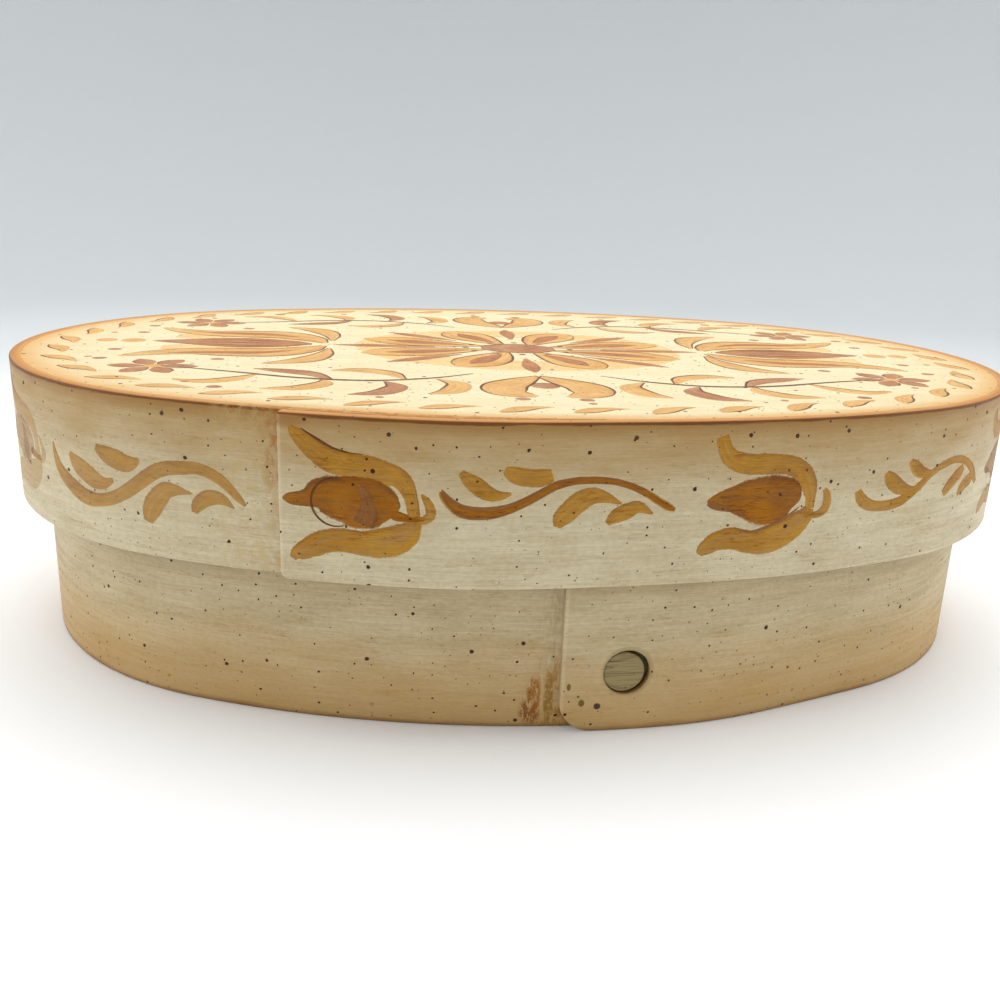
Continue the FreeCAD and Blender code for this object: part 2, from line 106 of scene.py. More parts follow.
def ramp_between(tree, value, start, stop, low=0.0, high=1.0, kind="SMOOTHSTEP"):
    """Value eased from low to high while it runs from start to stop."""
    feeds = {"Value": value, "From Min": start, "From Max": stop, "To Min": low, "To Max": high}
    return lay_node(tree, "ShaderNodeMapRange", feeds, interpolation_type=kind).outputs["Result"]


def blend_tints(tree, share, first, second):
    """Colour of the second tint laid over the first by a share."""
    feeds = {0: share, 6: first, 7: second}
    return lay_node(tree, "ShaderNodeMix", feeds, data_type="RGBA").outputs[2]


def new_finish(name, roughness=0.5, shine=0.5):
    """An empty finish: its node tree and its shader."""
    finish = bpy.data.materials.new(name)
    finish.use_nodes = True
    tree = finish.node_tree
    shader = tree.nodes["Principled BSDF"]
    shader.inputs["Roughness"].default_value = roughness
    shader.inputs["Specular IOR Level"].default_value = shine
    return finish, tree, shader


def place_mesh(name, points, faces, finishes, smooth_below=None):
    """An object made of points in millimetres, standing where they say."""
    mesh = bpy.data.meshes.new(name)
    mesh.from_pydata([tuple(c * MM for c in point) for point in points], [], faces)
    for finish in finishes:
        mesh.materials.append(finish)
    mesh.polygons.foreach_set("use_smooth", [True] * len(mesh.polygons))
    if smooth_below is not None:
        mesh.set_sharp_from_angle(angle=math.radians(smooth_below))
    piece = bpy.data.objects.new(name, mesh)
    bpy.context.scene.collection.objects.link(piece)
    return piece


def ring_faces(rings, steps, turned=False):
    """Four-sided faces from each ring of points to the next; turned ones look the other way."""
    faces = []
    for ring in range(rings - 1):
        for i in range(steps):
            a, b = ring * steps + i, ring * steps + (i + 1) % steps
            faces.append((a, b, b + steps, a + steps) if turned else (a, a + steps, b + steps, b))
    return faces


sweep_flat = 900.0
sweep_bend = 500.0
sweep_wall = 1700.0
sweep_steps = 96
flat_steps = 24
bend_steps = 12

sweep_finish, tree, shader = new_finish("studio_sweep", 0.9, 0.0)
place = lay_node(tree, "ShaderNodeTexCoord").outputs["Object"]
distance = lay_node(tree, "ShaderNodeVectorMath", {0: place}, operation="LENGTH").outputs["Value"]
far = ramp_between(tree, distance, 0.22, 0.62)
sweep_tint = blend_tints(tree, far, srgb(252, 252, 252), srgb(219, 222, 223))
tree.links.new(sweep_tint, shader.inputs["Base Color"])
# To the camera the floor by the box looks a little whiter than the lamps alone make it.
seen = lay_node(tree, "ShaderNodeLightPath").outputs["Is Camera Ray"]
lift = times(tree, seen, ramp_between(tree, distance, 0.2, 0.5, 0.085, 0.0))
glow = blend_tints(tree, lift, srgb(0, 0, 0), srgb(255, 255, 255))
tree.links.new(glow, shader.inputs["Emission Color"])
shader.inputs["Emission Strength"].default_value = 1.0

outline = [(sweep_flat * i / flat_steps, 0.0) for i in range(flat_steps + 1)]
outline += [
    (sweep_flat + sweep_bend * math.sin(turn), sweep_bend * (1 - math.cos(turn)))
    for turn in (math.pi / 2 * i / bend_steps for i in range(1, bend_steps + 1))
]
outline.append((sweep_flat + sweep_bend, sweep_wall))
points = [
    (radius * math.cos(turn), radius * math.sin(turn), height)
    for radius, height in outline[1:]
    for turn in (2 * math.pi * i / sweep_steps for i in range(sweep_steps))
]
faces = [tuple(range(sweep_steps))] + ring_faces(len(outline) - 1, sweep_steps)
sweep = place_mesh("studio_sweep", points, faces, [sweep_finish])

lit_spot = Vector((0.0, 0.0, 0.04))
for name, spot, size, energy in (
    ("overhead_lamp", (0.0, 0.25, 1.0), (1.5, 1.1), 10.6),
    ("left_lamp", (-0.85, 0.05, 0.32), (0.5, 0.5), 1.45),
    ("right_lamp", (0.85, 0.0, 0.32), (0.5, 0.5), 1.6),
):
    lamp = bpy.data.objects.new(name, bpy.data.lights.new(name, "AREA"))
    lamp.data.shape = "RECTANGLE"
    lamp.data.size, lamp.data.size_y = size
    lamp.data.energy = energy
    lamp.location = spot
    lamp.rotation_euler = (lit_spot - lamp.location).to_track_quat("-Z", "Y").to_euler()
    bpy.context.scene.collection.objects.link(lamp)

room = bpy.data.worlds.new("studio_room")
room.use_nodes = True
room.node_tree.nodes["Background"].inputs["Color"].default_value = (0.98, 0.99, 1.0, 1.0)
room.node_tree.nodes["Background"].inputs["Strength"].default_value = 0.52
bpy.context.scene.world = room


# The bottom board: one thin oval of plain sealed maple, let into the foot of the base band and
# flush underneath. Its edge is eased a little, and its grain runs along the box.
base_low, base_high = (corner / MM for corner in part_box("base_band"))
board_low, board_high = (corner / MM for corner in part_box("base_panel"))
end_radius_share = 0.884
end_radius = end_radius_share * base_high.y
end_centre = base_high.x - end_radius
side_radius = (end_centre**2 + base_high.y**2 - end_radius**2) / (2 * (base_high.y - end_radius))
side_centre = side_radius - base_high.y
side_angle = math.atan2(end_centre, side_centre)
joint_round = 0.3


def oval_runs(reach):
    """The four arcs of the oval that lies `reach` outside the base band's face."""
    side, end = side_radius + reach, end_radius + reach
    return (
        (side, 2 * side_angle, Vector((0, side_centre))),
        (end, math.pi - 2 * side_angle, Vector((end_centre, 0))),
        (side, 2 * side_angle, Vector((0, -side_centre))),
        (end, math.pi - 2 * side_angle, Vector((-end_centre, 0))),
    )


def oval_length(reach):
    return sum(radius * turn for radius, turn, centre in oval_runs(reach))


def oval_place(along, reach):
    """Point and outward direction, `along` being measured from the middle of the front."""
    rest = (along + (side_radius + reach) * side_angle) % oval_length(reach)
    heading = -side_angle
    for radius, turn, centre in oval_runs(reach):
        if rest <= radius * turn:
            break
        rest -= radius * turn
        heading += turn
    heading += rest / radius
    outward = Vector((math.sin(heading), -math.cos(heading)))
    return centre + outward * radius, outward


def make_board(name, reach, bottom, top, finishes, eased):
    """Oval board: eased edge, flat faces in rings that follow the oval."""
    steps = 480
    turns = [math.pi / 6 * i for i in range(4)]
    edge = [(reach - eased * (1 - math.sin(turn)), bottom + eased * (1 - math.cos(turn))) for turn in turns]
    edge += [(out, bottom + top - height) for out, height in reversed(edge)]
    insets = [1.5, 4, 8, 13, 20, 30, 42, 56, 70, 82]
    loops = [(reach - inset, bottom) for inset in reversed(insets)] + edge
    loops += [(reach - inset, top) for inset in insets]
    points, places = [], []
    length = oval_length(0)
    for out, height in loops:
        for i in range(steps):
            spot, outward = oval_place(length * i / steps, 0)
            spot = spot + outward * out
            points.append((spot.x, spot.y, height))
            places.append((spot.x, spot.y, -out + reach))
    faces = [tuple(reversed(range(steps)))] + ring_faces(len(loops), steps, turned=True)
    faces.append(tuple(range((len(loops) - 1) * steps, len(loops) * steps)))
    board = place_mesh(name, points, faces, finishes, smooth_below=50)
    note_places(board, places)
    return board


def note_places(piece, places):
    """Writes each corner's place on its own surface, and how far back it lies, in millimetres."""
    flat = piece.data.uv_layers.new(name="Place")
    back = piece.data.attributes.new("set_back", "FLOAT", "POINT")
    for loop in piece.data.loops:
        flat.data[loop.index].uv = places[loop.vertex_index][:2]
    if len(places[0]) > 2:
        back.data.foreach_set("value", [place[2] for place in places])


def new_group(name, takes, gives):
    """An empty shared effect with named inputs and outputs."""
    group = bpy.data.node_groups.new(name, "ShaderNodeTree")
    kinds = {"v": "NodeSocketVector", "f": "NodeSocketFloat", "c": "NodeSocketColor"}
    for label, kind, value in takes:
        socket = group.interface.new_socket(label, in_out="INPUT", socket_type=kinds[kind])
        socket.default_value = value
    for label, kind in gives:
        group.interface.new_socket(label, in_out="OUTPUT", socket_type=kinds[kind])
    entry = group.nodes.new("NodeGroupInput")
    leave = group.nodes.new("NodeGroupOutput")
    return group, entry.outputs, leave.inputs


def use_group(tree, group, feeds):
    """Outputs of a shared effect placed in a finish with its own values."""
    return lay_node(tree, "ShaderNodeGroup", feeds, node_tree=group).outputs


def on_piece(tree, chart="Place"):
    """Where a spot lies on its piece's own surface."""
    return lay_node(tree, "ShaderNodeUVMap", uv_map=chart).outputs[0]


def give_look(tree, shader, tint, height, depth, roughness=None):
    """Joins tint, relief and roughness to a finish, the relief being so many metres deep."""
    tree.links.new(tint, shader.inputs["Base Color"])
    relief = lay_node(tree, "ShaderNodeBump", {"Height": height, "Distance": depth})
    tree.links.new(relief.outputs[0], shader.inputs["Normal"])
    if roughness is not None:
        tree.links.new(roughness, shader.inputs["Roughness"])


def vector_sum(tree, operation, first, second):
    """Output of one sum over two vectors."""
    return lay_node(tree, "ShaderNodeVectorMath", {0: first, 1: second}, operation=operation).outputs[0]


def stretched(tree, place, length, height, shift=0.0):
    """The place on the surface, counted in steps of one length along and one height across."""
    scaled = vector_sum(tree, "MULTIPLY", place, (1 / length, 1 / height, 1.0))
    return vector_sum(tree, "ADD", scaled, (shift, shift, 0.0))


def cloud(tree, place, length, height, shift=0.0, detail=3.0, rough=0.55):
    """Soft random value over the surface, about 0.5."""
    spot = stretched(tree, place, length, height, shift)
    feeds = {"Vector": spot, "Scale": 1.0, "Detail": detail, "Roughness": rough}
    return lay_node(tree, "ShaderNodeTexNoise", feeds, noise_dimensions="2D").outputs["Fac"]


board_figure, given, handed = new_group(
    "board_figure",
    [("Place", "v", (0, 0, 0)), ("Light", "c", srgb(214, 186, 140)), ("Dark", "c", srgb(174, 136, 90))],
    [("Color", "c"), ("Height", "f")],
)
tree = board_figure
broad = cloud(tree, given["Place"], 160, 14, 3.1, 3.0, 0.5)
rings = reckon(tree, "FRACT", times(tree, broad, 9.0))
rings = ramp_between(tree, rings, 0.55, 1.0)
pores = cloud(tree, given["Place"], 14, 0.35, 7.7, 4.0, 0.6)
pores = ramp_between(tree, pores, 0.52, 0.72)
figure = reckon(tree, "ADD", times(tree, rings, 0.45), times(tree, pores, 0.5), clamp=True)
tree.links.new(blend_tints(tree, figure, given["Light"], given["Dark"]), handed["Color"])
tree.links.new(reckon(tree, "SUBTRACT", 1.0, pores), handed["Height"])

sealed_board, tree, shader = new_finish("sealed_board", 0.5)
grain = use_group(tree, board_figure, {"Place": on_piece(tree)})
give_look(tree, shader, grain["Color"], grain["Height"], 0.04 * MM)

bottom_board = make_board("bottom_board", board_high.x - base_high.x, board_low.z, board_high.z,
                          [sealed_board], joint_round)
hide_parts("base_panel")
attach(bottom_board, "base")


# The base band: one strip of thin wood bent round the board. Its outer end laps over the inner
# one at the front, is cut square with a rounded lower corner, and eases down on a long ramp.
base_wall = 2.8
glue_gap = 0.15
base_lap = {"end": 1.8, "held": 28.8, "foot": 88.7, "proud": base_wall + glue_gap}
base_corner = 8.5
base_edge = 0.6
feather = 0.4
under_lap_run = 8
plug_hole = 6.0
base_plug_along = 18.3
base_plug_inset = 16.2
base_plug_heights = (base_plug_inset, base_high.z - base_plug_inset)
hole_steps = 72


def lap_rise(along, lap):
    """How far the strip's outer face stands off the plain oval."""
    share = (along - lap["held"]) / (lap["foot"] - lap["held"])
    if share <= 0:
        return lap["proud"]
    if share >= 1:
        return 0.0
    return lap["proud"] * (1 - 2 * share**2 if share < 0.5 else 2 * (1 - share) ** 2)


def quarter_turns(steps):
    return [math.pi / 2 * i / steps for i in range(steps + 1)]


def strip_stations(lap, wall, reach, corner, edge):
    """Where the strip is cut across: distance along, its two faces, and how much it is eased."""
    length = oval_length(reach)
    step = 1.5
    turns = quarter_turns(10)
    starts = {edge * (1 - math.cos(turn)) for turn in turns[::2]}
    starts |= {corner * (1 - math.cos(turn)) for turn in turns}
    alongs = sorted(lap["end"] + d for d in starts)
    while alongs[-1] + step < length + lap["foot"]:
        alongs.append(alongs[-1] + step)
    stations = []
    for along in alongs:
        under = along - length
        if under > lap["end"] - under_lap_run:
            outer = lap_rise(under, lap) - lap["proud"] if under > lap["held"] else 0.0
            inner = -wall
        else:
            outer = lap_rise(along, lap)
            inner = outer - wall
        if outer - inner < feather:
            break
        eased = max(0.0, edge - (along - lap["end"]))
        eased = edge - math.sqrt(edge**2 - eased**2)
        raised = max(0.0, corner - (along - lap["end"]))
        raised = corner - math.sqrt(corner**2 - raised**2)
        stations.append((along, outer - eased, inner + eased, max(raised, eased), eased))
    return stations


def make_strip(name, lap, wall, reach, foot, head, corner, edge, head_edge, inner_edge, finishes, sag):
    """The bent strip: rounded rectangles set round the oval and skinned."""
    rows = 26
    round_steps = 4
    turns = quarter_turns(round_steps)
    painted = 3 * round_steps + rows + 1
    sag_wave = 31
    least_flat = 2.2
    stations = strip_stations(lap, wall, reach, corner, edge)
    points, places = [], []
    for along, outer, inner, raised, lowered in stations:
        spot, outward = oval_place(along, reach)
        low = foot + raised + sag * (0.5 + 0.5 * noise.noise(Vector((along / sag_wave, foot, 0.3))))
        high = head - lowered
        roundest = (outer - inner) / least_flat
        below, above, inside = (min(wanted, roundest) for wanted in (edge, head_edge, inner_edge))
        loop = [(outer - below * (1 - math.sin(turn)), low + below * (1 - math.cos(turn)),
                 low - foot + below * (turn - 1)) for turn in turns]
        for i in range(1, rows):
            height = low + below + (high - above - low - below) * i / rows
            loop.append((outer, height, height - foot))
        loop += [(outer - above * (1 - math.cos(turn)), high - above * (1 - math.sin(turn)),
                  high - foot + above * (turn - 1)) for turn in turns]
        top_run = high - foot + above * (math.pi / 2 - 1) + (outer - inner)
        loop += [(inner + inside * (1 - math.sin(turn)), high - inside * (1 - math.cos(turn)),
                  top_run + inside * turn) for turn in turns]
        for i in range(1, rows):
            height = high - inside - (high - low - inside - below) * i / rows
            loop.append((inner, height, top_run + high - height))
        loop += [(inner + below * (1 - math.cos(turn)), low + below * (1 - math.sin(turn)),
                  top_run + high - low + below * turn) for turn in turns]
        for out, height, girth in loop:
            points.append((spot.x + outward.x * out, spot.y + outward.y * out, height))
            places.append((along, girth + foot))
    count = len(loop)
    faces = ring_faces(len(stations), count)
    slots = [0 if i < painted or i == count - 1 else 1 for i in range(count)] * (len(stations) - 1)
    last = (len(stations) - 1) * count
    faces += [tuple(range(count)), tuple(reversed(range(last, last + count)))]
    slots += [0, 1]
    strip = place_mesh(name, points, faces, finishes)
    strip.data.polygons.foreach_set("material_index", slots)
    strip.data.set_sharp_from_angle(angle=math.radians(38))
    note_places(strip, places)
    return strip


def bore(piece, along, height, reach, radius):
    """A round hole straight through the strip at one spot."""
    overrun = 14.0
    spot, outward = oval_place(along, reach)
    side = Vector((-outward.y, outward.x, 0))
    up = Vector((0, 0, 1))
    middle = Vector((spot.x, spot.y, height))
    points = []
    for out in (-overrun, overrun):
        for i in range(hole_steps):
            turn = 2 * math.pi * i / hole_steps
            points.append(middle + outward.to_3d() * out + side * radius * math.cos(turn)
                          + up * radius * math.sin(turn))
    faces = [tuple(reversed(range(hole_steps))), tuple(range(hole_steps, 2 * hole_steps))]
    faces += ring_faces(2, hole_steps, turned=True)
    cutter = place_mesh("cutter", points, faces, [])
    bpy.context.view_layer.update()
    cut = piece.modifiers.new("bore", "BOOLEAN")
    cut.operation = "DIFFERENCE"
    cut.solver = "EXACT"
    cut.object = cutter
    graph = bpy.context.evaluated_depsgraph_get()
    bored = bpy.data.meshes.new_from_object(piece.evaluated_get(graph))
    piece.modifiers.clear()
    plain = piece.data
    piece.data = bored
    bored.name = piece.name
    bpy.data.meshes.remove(plain)
    bpy.data.objects.remove(cutter)


brush_grain, given, handed = new_group(
    "brush_grain", [("Place", "v", (0, 0, 0))],
    [("Hairs", "f"), ("Bands", "f"), ("Patches", "f"), ("Mottle", "f"), ("Grain", "f")],
)
tree = brush_grain
for effect, length, height, shift, detail, rough, low, high in (
    ("Hairs", 13, 0.34, 2.3, 4.0, 0.62, 0.34, 0.7),
    ("Bands", 46, 1.7, 5.9, 4.0, 0.6, 0.34, 0.66),
    ("Patches", 24, 8, 9.4, 4.0, 0.6, 0.32, 0.68),
    ("Mottle", 1.5, 1.0, 13.1, 3.0, 0.6, 0.34, 0.68),
):
    drift = cloud(tree, given["Place"], length, height, shift, detail, rough)
    tree.links.new(ramp_between(tree, drift, low, high), handed[effect])
# Fine dark lines where the wood's own grain shows through the paint.
vein = reckon(tree, "SUBTRACT", cloud(tree, given["Place"], 12, 1.2, 17.7, 3.0), 0.5)
vein = reckon(tree, "ABSOLUTE", vein)
sparse = ramp_between(tree, cloud(tree, given["Place"], 14, 2.8, 21.3, 2.0), 0.5, 0.66)
grain = times(tree, ramp_between(tree, vein, 0.006, 0.045, 1.0, 0.0), sparse)
tree.links.new(grain, handed["Grain"])

flyspecks, given, handed = new_group(
    "flyspecks", [("Place", "v", (0, 0, 0)), ("More", "f", 0.0)], [("Specks", "f")]
)
tree = flyspecks
waver = cloud(tree, given["Place"], 0.9, 0.9, 0.0, 1.0)
waver = times(tree, reckon(tree, "SUBTRACT", waver, 0.5), 0.35)
waved = vector_sum(tree, "ADD", given["Place"], waver)
speck_masks = []
for cell, empty_share, largest in ((12.5, 0.5, 0.62), (5.0, 0.52, 0.36), (3.0, 0.7, 0.22)):
    spot = stretched(tree, waved, cell, cell, cell)
    cells = lay_node(tree, "ShaderNodeTexVoronoi", {"Vector": spot, "Scale": 1.0, "Randomness": 1.0},
                     voronoi_dimensions="2D", feature="F1")
    luck = lay_node(tree, "ShaderNodeSeparateColor", {0: cells.outputs["Color"]}).outputs[0]
    luck = reckon(tree, "ADD", luck, given["More"])
    radius = ramp_between(tree, luck, empty_share, 1.0, 0.4 * largest / cell, largest / cell, "LINEAR")
    radius = times(tree, radius, reckon(tree, "GREATER_THAN", luck, empty_share))
    inside = reckon(tree, "SUBTRACT", radius, cells.outputs["Distance"])
    speck_masks.append(ramp_between(tree, inside, 0.0, 0.09 / cell, kind="LINEAR"))
specks = reckon(tree, "MAXIMUM", speck_masks[0], reckon(tree, "MAXIMUM", *speck_masks[1:]))
tree.links.new(specks, handed["Specks"])

edge_glaze, given, handed = new_group(
    "edge_glaze",
    [("Place", "v", (0, 0, 0)), ("Level", "f", 0.0), ("Edge", "f", 0.0), ("Fade", "f", 10.0),
     ("Ragged", "f", 2.0)],
    [("Glaze", "f")],
)
tree = edge_glaze
ragged = cloud(tree, given["Place"], 22, 7, 4.4, 4.0, 0.6)
ragged = times(tree, reckon(tree, "SUBTRACT", ragged, 0.5), given["Ragged"])
off = reckon(tree, "ABSOLUTE", reckon(tree, "SUBTRACT", given["Level"], given["Edge"]))
off = reckon(tree, "ADD", off, ragged)
share = reckon(tree, "DIVIDE", off, given["Fade"])
tree.links.new(ramp_between(tree, share, 0.0, 1.0, 1.0, 0.0), handed["Glaze"])

old_paint, given, handed = new_group(
    "old_paint",
    [("Place", "v", (0, 0, 0)), ("Paint", "c", srgb(228, 214, 180)), ("Wash", "c", srgb(176, 140, 92)),
     ("Strength", "f", 1.0)],
    [("Color", "c"), ("Height", "f"), ("Roughness", "f")],
)
tree = old_paint
strokes = use_group(tree, brush_grain, {"Place": given["Place"]})
washed = times(tree, strokes["Hairs"], 0.17)
for streak, weight in (("Bands", 0.1), ("Patches", 0.2), ("Mottle", 0.14), ("Grain", 0.26)):
    washed = reckon(tree, "ADD", washed, times(tree, strokes[streak], weight))
washed = times(tree, washed, given["Strength"], clamp=True)
tree.links.new(blend_tints(tree, washed, given["Paint"], given["Wash"]), handed["Color"])
tree.links.new(reckon(tree, "SUBTRACT", 1.0, times(tree, strokes["Hairs"], 0.7)), handed["Height"])
tree.links.new(ramp_between(tree, strokes["Bands"], 0.0, 1.0, 0.42, 0.58), handed["Roughness"])


def glaze_over(tree, tint, place, level, edge, fade, ragged, glaze, strength):
    """The tint with a darker glaze laid over it towards one edge."""
    feeds = {"Place": place, "Level": level, "Edge": edge, "Fade": fade, "Ragged": ragged}
    mask = use_group(tree, edge_glaze, feeds)["Glaze"]
    return blend_tints(tree, times(tree, mask, strength), tint, glaze)


def spatter(tree, tint, place, more=0.0):
    """The tint with dark brown flyspecks over it."""
    specks = use_group(tree, flyspecks, {"Place": place, "More": more})["Specks"]
    return blend_tints(tree, specks, tint, srgb(68, 34, 6))


def patch_at(tree, place, spot, size, soft=0.35):
    """Oval mask round one spot of the surface."""
    gap = vector_sum(tree, "DIVIDE", vector_sum(tree, "SUBTRACT", place, (*spot, 0.0)), (*size, 1.0))
    distance = lay_node(tree, "ShaderNodeVectorMath", {0: gap}, operation="LENGTH").outputs["Value"]
    return ramp_between(tree, distance, 1.0 - soft, 1.0 + soft, 1.0, 0.0)


base_paint, tree, shader = new_finish("base_paint", shine=0.3)
place = on_piece(tree)
axes = lay_node(tree, "ShaderNodeSeparateXYZ", {0: place}).outputs
coat = use_group(tree, old_paint, {"Place": place, "Paint": srgb(223, 207, 168), "Wash": srgb(164, 132, 80)})
tint = glaze_over(tree, coat["Color"], place, axes["Y"], 0.0, 34.0, 14.0, srgb(208, 158, 80), 0.64)
tint = glaze_over(tree, tint, place, axes["Y"], -0.4, 2.2, 1.4, srgb(146, 92, 38), 0.85)
# A soiled grey line where the lid's edge sits, and painted shade under the lid's overhang.
tint = glaze_over(tree, tint, place, axes["Y"], 41.0, 9.0, 6.0, srgb(166, 146, 112), 0.35)
# Brown glaze that stayed in the corner beside the lap's square end, ragged towards the foot.
lap_spot = oval_length(0) + base_lap["end"]
beside = reckon(tree, "SUBTRACT", lap_spot, axes["X"])
close_by = ramp_between(tree, beside, 1.0, 10.0, 1.0, 0.0)
blotch = ramp_between(tree, cloud(tree, place, 2.6, 5.0, 1.7, 5.0, 0.7), 0.44, 0.6)
lower = ramp_between(tree, axes["Y"], 9.0, 26.0, 1.0, 0.0)
stain = times(tree, times(tree, close_by, blotch), lower)
tint = blend_tints(tree, times(tree, stain, 0.8), tint, srgb(178, 118, 34))
torn = ramp_between(tree, cloud(tree, place, 1.3, 2.6, 8.8, 5.0, 0.7), 0.4, 0.52)
for back, up, size, glaze in (
    (7.0, 4.4, (2.6, 3.6), srgb(146, 72, 6)),
    (6.2, 9.4, (1.7, 4.6), srgb(164, 98, 16)),
    (2.4, 7.6, (1.2, 7.4), srgb(158, 116, 34)),
):
    scar = times(tree, patch_at(tree, place, (lap_spot - back, up), size, 0.3), torn)
    tint = blend_tints(tree, times(tree, scar, 0.85), tint, glaze)
# Ripples where thick paint dried beside the lap, drawn with painted highlight on their crests and painted
# shade in their troughs.
ripple = cloud(tree, place, 0.9, 2.8, 3.9, 3.0, 0.6)
upper = ramp_between(tree, axes["Y"], 12.0, 20.0)
near_lap = times(tree, ramp_between(tree, beside, 2.0, 7.0, 1.0, 0.0), upper)
painted_crest_highlight = times(tree, ramp_between(tree, ripple, 0.52, 0.64), near_lap)
painted_trough_shade = times(tree, ramp_between(tree, ripple, 0.48, 0.38), near_lap)
tint = blend_tints(tree, times(tree, painted_crest_highlight, 0.22), tint, srgb(236, 226, 200))
tint = blend_tints(tree, times(tree, painted_trough_shade, 0.12), tint, srgb(150, 128, 92))
# The lap's square end: a pale line down it, partly worn paint and partly painted highlight where the edge
# catches the light, and three small chips by its lower corner.
wear_and_highlight = reckon(tree, "ABSOLUTE", reckon(tree, "SUBTRACT", axes["X"], base_lap["end"] + 0.5))
wear_and_highlight = ramp_between(tree, wear_and_highlight, 0.2, 0.8, 0.22, 0.0)
tint = blend_tints(tree, wear_and_highlight, tint, srgb(238, 222, 184))
# The paint's soft edge round the plug hole, worn to the wood.
rim_spot = (base_plug_along + 0.3, base_plug_inset + 0.3)
rim_size = (plug_hole + 0.75, plug_hole + 0.75)
hole_rim = reckon(tree, "SUBTRACT", patch_at(tree, place, rim_spot, rim_size, 0.05),
                  patch_at(tree, place, (base_plug_along, base_plug_inset), (5.4, 5.4), 0.05), clamp=True)
tint = blend_tints(tree, times(tree, hole_rim, 0.55), tint, srgb(176, 156, 106))
for spot, size in (((3.9, 12.6), (0.5, 0.95)), ((7.3, 8.1), (0.75, 0.95)), ((6.4, 9.9), (0.35, 0.35))):
    tint = blend_tints(tree, patch_at(tree, place, spot, size, 0.2), tint, srgb(122, 98, 44))
tint = spatter(tree, tint, place, 0.03)
give_look(tree, shader, tint, coat["Height"], 0.05 * MM, coat["Roughness"])

base_strip = make_strip("base_strip", base_lap, base_wall, 0.0, base_low.z, base_high.z,
                        base_corner, base_edge, base_edge, base_edge, [base_paint, sealed_board], 0.0)
for height in base_plug_heights:
    bore(base_strip, base_plug_along, height, 0.0, plug_hole)
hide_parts("base_band")
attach(base_strip, "base")

# Thick paint that gathered in the corner beside the lap's square end and dried there.
bead_low, bead_high = 3.0, base_high.z - 1.0
bead_steps = 76
bead_sink = 0.05
points, places = [], []
for i in range(bead_steps + 1):
    height = bead_low + (bead_high - bead_low) * i / bead_steps
    full = 0.35 + 0.65 * min(1.0, max(0.0, (height - 10.0) / 9.0))
    full *= min(1.0, i / 3, (bead_steps - i) / 3) * 0.96 + 0.04
    wide = (1.3 + 0.6 * noise.noise(Vector((height / 3.1, 1.3, 0.2)))) * full
    tall = (1.1 + 0.4 * noise.noise(Vector((height / 2.3, 7.1, 0.2)))) * full
    profile = [(base_lap["end"] + 0.35, -bead_sink), (base_lap["end"] - wide, -bead_sink)]
    for turn in quarter_turns(6):
        profile.append((base_lap["end"] - wide * (1 - math.sin(turn)) ** 1.3,
                        tall * (1 - math.cos(turn)) ** 1.3))
    profile.append((base_lap["end"] + 0.35, tall))
    for along, out in profile:
        spot, outward = oval_place(along, 0.0)
        points.append((spot.x + outward.x * out, spot.y + outward.y * out, height))
        places.append((along + oval_length(0), height))
around = len(profile)
faces = ring_faces(bead_steps + 1, around, turned=True)
faces.append(tuple(reversed(range(around))))
faces.append(tuple(range(bead_steps * around, (bead_steps + 1) * around)))
paint_bead = place_mesh("lap_paint_bead", points, faces, [base_paint], smooth_below=60)
note_places(paint_bead, places)
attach(paint_bead, "base")


# The base plugs: two round wooden plugs through both layers of the base lap. The lower one was
# left bare, has gone grey, and sits a little back and to the left in its hole.
plug_gap = 1.3
plug_recess = 0.4
seat_depth = 1.7


def make_plug(name, along, height, reach, radius, face, depth, finishes,
              ridge=0.0, shift=0.0, drop=0.0, seat=0.0):
    """A round plug: eased edge, a face ridged by its cut grain, and a seat that fills the hole."""
    spot, outward = oval_place(along, reach)
    outward = outward.to_3d()
    side = Vector((-outward.y, outward.x, 0))
    offset = side * shift + Vector((0, 0, drop))
    eased, knee = 0.35, 0.1
    rings = [(radius * r / 9, face) for r in range(1, 9)]
    rings += [(radius - eased, face), (radius - knee, face - knee), (radius, face - eased)]
    if seat:
        rings += [(radius, face - seat_depth), (seat, face - seat_depth), (seat, face - depth)]
    else:
        rings += [(radius, face - depth)]
    points, places = [], []
    for out, lift in rings:
        middle = Vector((spot.x, spot.y, height)) + (offset if out <= radius else Vector())
        back = face - lift if lift > face - depth else 0.0
        for i in range(hole_steps):
            turn = 2 * math.pi * i / hole_steps
            across, up = out * math.cos(turn), out * math.sin(turn)
            rough = noise.noise(Vector((across / 5, up / 0.55, 0.7)))
            lifted = lift + (ridge * rough if lift == face else 0.0)
            point = middle + side * across + Vector((0, 0, up)) + outward * lifted
            points.append(point)
            places.append((along + across, height + up, back))
    faces = [tuple(range(hole_steps))] + ring_faces(len(rings), hole_steps)
    faces.append(tuple(reversed(range((len(rings) - 1) * hole_steps, len(rings) * hole_steps))))
    plug = place_mesh(name, points, faces, finishes, smooth_below=45)
    note_places(plug, places)
    return plug


weathered_plug, tree, shader = new_finish("weathered_plug", 0.7)
place = on_piece(tree)
grain = use_group(tree, board_figure, {"Place": place, "Light": srgb(166, 146, 98), "Dark": srgb(98, 80, 46)})
# Painted shade: the plug's eased edge, sides and seat darken the further back they lie in the hole.
sunk = lay_node(tree, "ShaderNodeAttribute", attribute_name="set_back").outputs["Fac"]
recess_shade = ramp_between(tree, sunk, 0.1, 0.9, 0.0, 0.85)
tint = spatter(tree, blend_tints(tree, recess_shade, grain["Color"], srgb(74, 66, 40)), place, -0.1)
give_look(tree, shader, tint, grain["Height"], 0.1 * MM)

for node, height in zip(("base_lower_plug", "base_upper_plug"), base_plug_heights):
    plug = make_plug(node.replace("base_", "lap_"), base_plug_along, height, 0.0,
                     plug_hole - plug_gap / 2, base_lap["proud"] - plug_recess, 5.2, [weathered_plug],
                     ridge=0.08, shift=-plug_gap / 2 + 0.05, drop=-0.1, seat=plug_hole - 0.04)
    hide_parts(node)
    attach(plug, "base")


